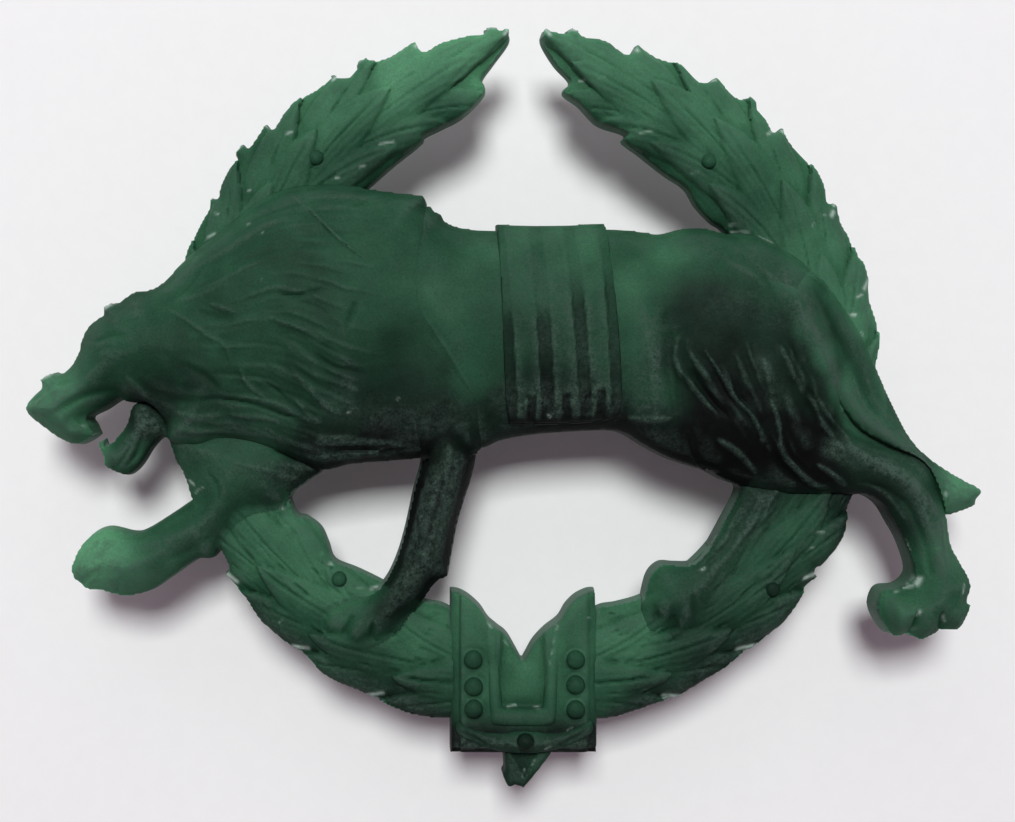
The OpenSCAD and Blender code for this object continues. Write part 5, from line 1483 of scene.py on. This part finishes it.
def paper():
    """Plain pale floor with a very faint tooth; far from the badge it fades into the pale backdrop."""
    g = Graph("pale_floor")
    mottle = g.noise(900, 4.0, 0.6)
    g.feed(g.shader.inputs["Base Color"], g.mix(mottle, (0.80, 0.80, 0.815), (0.84, 0.84, 0.85)))
    g.shader.inputs["Roughness"].default_value = 0.9
    g.shader.inputs["Specular IOR Level"].default_value = 0.1
    g.feed(g.shader.inputs["Normal"], g.bump(mottle, 0.12, 0.00005))
    away = g.add("VectorMath", {0: g.where}, operation="LENGTH").outputs["Value"]
    fade = g.add("MapRange", {"Value": away, "From Min": FADE_FROM, "From Max": FADE_TO},
                 interpolation_type="SMOOTHSTEP").outputs["Result"]
    glow = g.add("Emission", {"Color": BACKDROP}).outputs[0]
    either = g.add("MixShader", {0: fade, 1: g.shader.outputs[0], 2: glow}).outputs[0]
    g.feed(g.nodes["Material Output"].inputs["Surface"], either)
    g.material.cycles.emission_sampling = "NONE"
    return g.material


WREATH_WAX = wax("wreath_wax", 0.50, 0.65)
BEAST_WAX = wax("beast_wax", 0.52, 1.05)
TIE_WAX = wax("tie_wax", 0.50, 0.75)
BRASS = brass()


# ---------------------------------------- the pieces
def place(ob, material, body, slot, *nodes):
    ob.data.materials.append(material)
    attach(ob, body)
    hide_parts(*nodes)


def make_wreath():
    """Both branches, cut down where the beast and the tie plate cross them, and their berries."""
    for side, shape, node in ((-1, LEFT, "wreath_left"), (1, RIGHT, "wreath_right")):
        ob = relief_piece(f"{node}_leaves", shape, branch_top(side), flat_back, WREATH_TONES,
                          seats=[(BEAST + [TIE], WREATH_LAP)])
        place(ob, WREATH_WAX, "badge", "wreath_wax", node)
    berries = [(x, y, PLATE_TOP - 0.35, radius, 0.42) for x, y, radius in BERRIES]
    ob = beads("laurel_berries", berries, WREATH_TONES, darker=0.12)
    place(ob, WREATH_WAX, "badge", "wreath_wax", "berries")


def make_beast():
    """The beast's pieces: each with its node, outline, top, bottom and tones, and how it meets the others."""
    limbs = (LIMBS_ON_BODY, BODY_LAP)
    band = ([BAND], BAND_SEAT)
    parts = [
        ("mane_and_head", "mane_head", HEAD, body_height, body_bottom, BEAST_TONES,
         {"covers": [JAW], "seats": [limbs], "lies_on": [TORSO, *BRANCHES]}),
        ("jaw_with_fang", "lower_jaw", JAW, jaw_top, flat_back, BEAST_TONES, {}),
        ("barrel_and_rump", "torso", TORSO, body_height, body_bottom, BEAST_TONES,
         {"covers": [HEAD], "seats": [limbs, band], "lies_on": BRANCHES}),
        ("pleated_band", "girth_band", BAND, band_top, band_bottom, BEAST_TONES, {"shade": band_shade}),
        ("straight_foreleg", "near_foreleg", FORELEG, foreleg_top, limb_bottom, FORELEG_TONES,
         {"lies_on": [BODY]}),
        ("reaching_foreleg", "far_foreleg", FAR_FORELEG, far_foreleg_top, body_bottom, FAR_FORELEG_TONES,
         {"covers": [HEAD, JAW], "lies_on": BRANCHES}),
        ("haunch_and_shank", "near_hind_leg", HIND_LEG, hind_leg_top, limb_bottom, BEAST_TONES,
         {"lies_on": [BODY, TAIL]}),
        ("braced_hind_leg", "far_hind_leg", FAR_HIND_LEG, far_hind_leg_top, body_bottom, FAR_HIND_TONES,
         {"covers": [TORSO, HIND_LEG], "lies_on": BRANCHES}),
        ("pointed_tail", "tail", TAIL, tail_top, limb_bottom, TAIL_TONES,
         {"covers": [HIND_LEG], "lies_on": [BODY]}),
    ]
    for name, node, shape, top, bottom, tones, joins in parts:
        ob = relief_piece(name, shape, top, bottom, tones, **joins)
        place(ob, BEAST_WAX, "badge", "beast_wax", node)


def make_tie():
    """The notched plate over the branches' crossing, and what lies on it."""
    parts = [
        ("notched_plate", "tie_plate", TIE, tie_top, body_bottom, {"covers": [FORELEG], "shade": tie_shade}),
        ("plate_frame", "tie_frame", FRAME, frame_top, seat_on_plate, {}),
        ("plate_swag", "tie_swag", SWAG, swag_top, seat_on_plate, {}),
        ("pointed_strap_tip", "strap_tip", TIP, tip_top, flat_back, {}),
    ]
    for name, node, shape, top, bottom, joins in parts:
        ob = relief_piece(name, shape, top, bottom, TIE_TONES, flare=TIE_FLARE, **joins)
        place(ob, TIE_WAX, "badge", "tie_wax", node)
    studs = [(x, y, PLATE_TOP - 0.05, 0.5, 0.45) for x, y in STUDS]
    studs.append((*CENTRE_STUD, PLATE_TOP + 0.4, 0.45, 0.4))
    ob = beads("plate_studs", studs, TIE_TONES, darker=0.14)
    place(ob, TIE_WAX, "badge", "tie_wax", "tie_studs")


def finish_fixings():
    """The lugs and the split pin keep their CAD meshes, in brass."""
    for node in ("lug_left", "lug_right", "split_pin"):
        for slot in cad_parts[node].material_slots:
            slot.material = BRASS


# ---------------------------------------- stage
FLOOR_HALF = 2.0             # metres from the floor's middle to its edges
ROOM_LIGHT = (1.0, 0.72, 0.88)
ROOM_STRENGTH = 0.20
CAM_HEIGHT = 85.0            # mm above the badge's back
CAM_X = -5.2                 # where the camera stands, left of the badge's middle
VIEW_W = 1015 / 19.0         # width of the view in mm at the height of the relief
VIEW_Z = 1.2
VIEW_MID = (-0.87, -1.63)
SENSOR = 36


def link(ob):
    bpy.context.scene.collection.objects.link(ob)
    return ob


def make_floor():
    z = cad_box[0][2]
    corners = [(sx * FLOOR_HALF, sy * FLOOR_HALF, z) for sx, sy in ((-1, -1), (1, -1), (1, 1), (-1, 1))]
    me = bpy.data.meshes.new("floor")
    me.from_pydata(corners, [], [(0, 1, 2, 3)])
    me.materials.append(paper())
    floor = link(bpy.data.objects.new("floor", me))


def make_room():
    """A dim room whose faintly pink light fills the shadows; the camera sees a plain pale backdrop."""
    world = bpy.data.worlds.new("soft_room")
    bpy.context.scene.world = world
    world.use_nodes = True
    nodes, links = world.node_tree.nodes, world.node_tree.links
    light = nodes["Background"]
    light.inputs["Color"].default_value = (*ROOM_LIGHT, 1)
    light.inputs["Strength"].default_value = ROOM_STRENGTH
    seen = nodes.new("ShaderNodeBackground")
    seen.inputs["Color"].default_value = (*BACKDROP, 1)
    kind = nodes.new("ShaderNodeLightPath")
    either = nodes.new("ShaderNodeMixShader")
    links.new(kind.outputs["Is Camera Ray"], either.inputs[0])
    links.new(light.outputs[0], either.inputs[1])
    links.new(seen.outputs[0], either.inputs[2])
    links.new(either.outputs[0], nodes["World Output"].inputs["Surface"])


def soft_box(name, at, size_x, size_y, watts, colour):
    """A rectangular light that faces the badge."""
    data = bpy.data.lights.new(name, "AREA")
    data.shape = "RECTANGLE"
    data.size = size_x
    data.size_y = size_y
    data.energy = watts
    data.color = colour
    ob = link(bpy.data.objects.new(name, data))
    ob.location = at
    ob.rotation_mode = "QUATERNION"
    ob.rotation_quaternion = (-Vector(at)).to_track_quat("-Z", "Y")


def make_camera():
    data = bpy.data.cameras.new("photo_camera")
    data.sensor_width = SENSOR
    data.lens = SENSOR * (CAM_HEIGHT - VIEW_Z) / VIEW_W
    data.shift_x = (VIEW_MID[0] - CAM_X) / VIEW_W
    data.shift_y = VIEW_MID[1] / VIEW_W
    data.clip_start = 0.005
    data.clip_end = 5
    cam = link(bpy.data.objects.new("photo_camera", data))
    cam.location = (CAM_X * MM, 0, CAM_HEIGHT * MM)
    bpy.context.scene.camera = cam
    bpy.context.scene.view_settings.view_transform = "Standard"


make_floor()
make_room()
soft_box("overhead", (-0.025, 0.175, 0.49), 0.13, 0.13, 2.5, (0.96, 1.0, 0.97))
soft_box("slanted", (-0.06, 0.44, 0.34), 0.50, 0.30, 0.33, (0.97, 1.0, 0.98))
make_camera()
make_wreath()
make_beast()
make_tie()
finish_fixings()
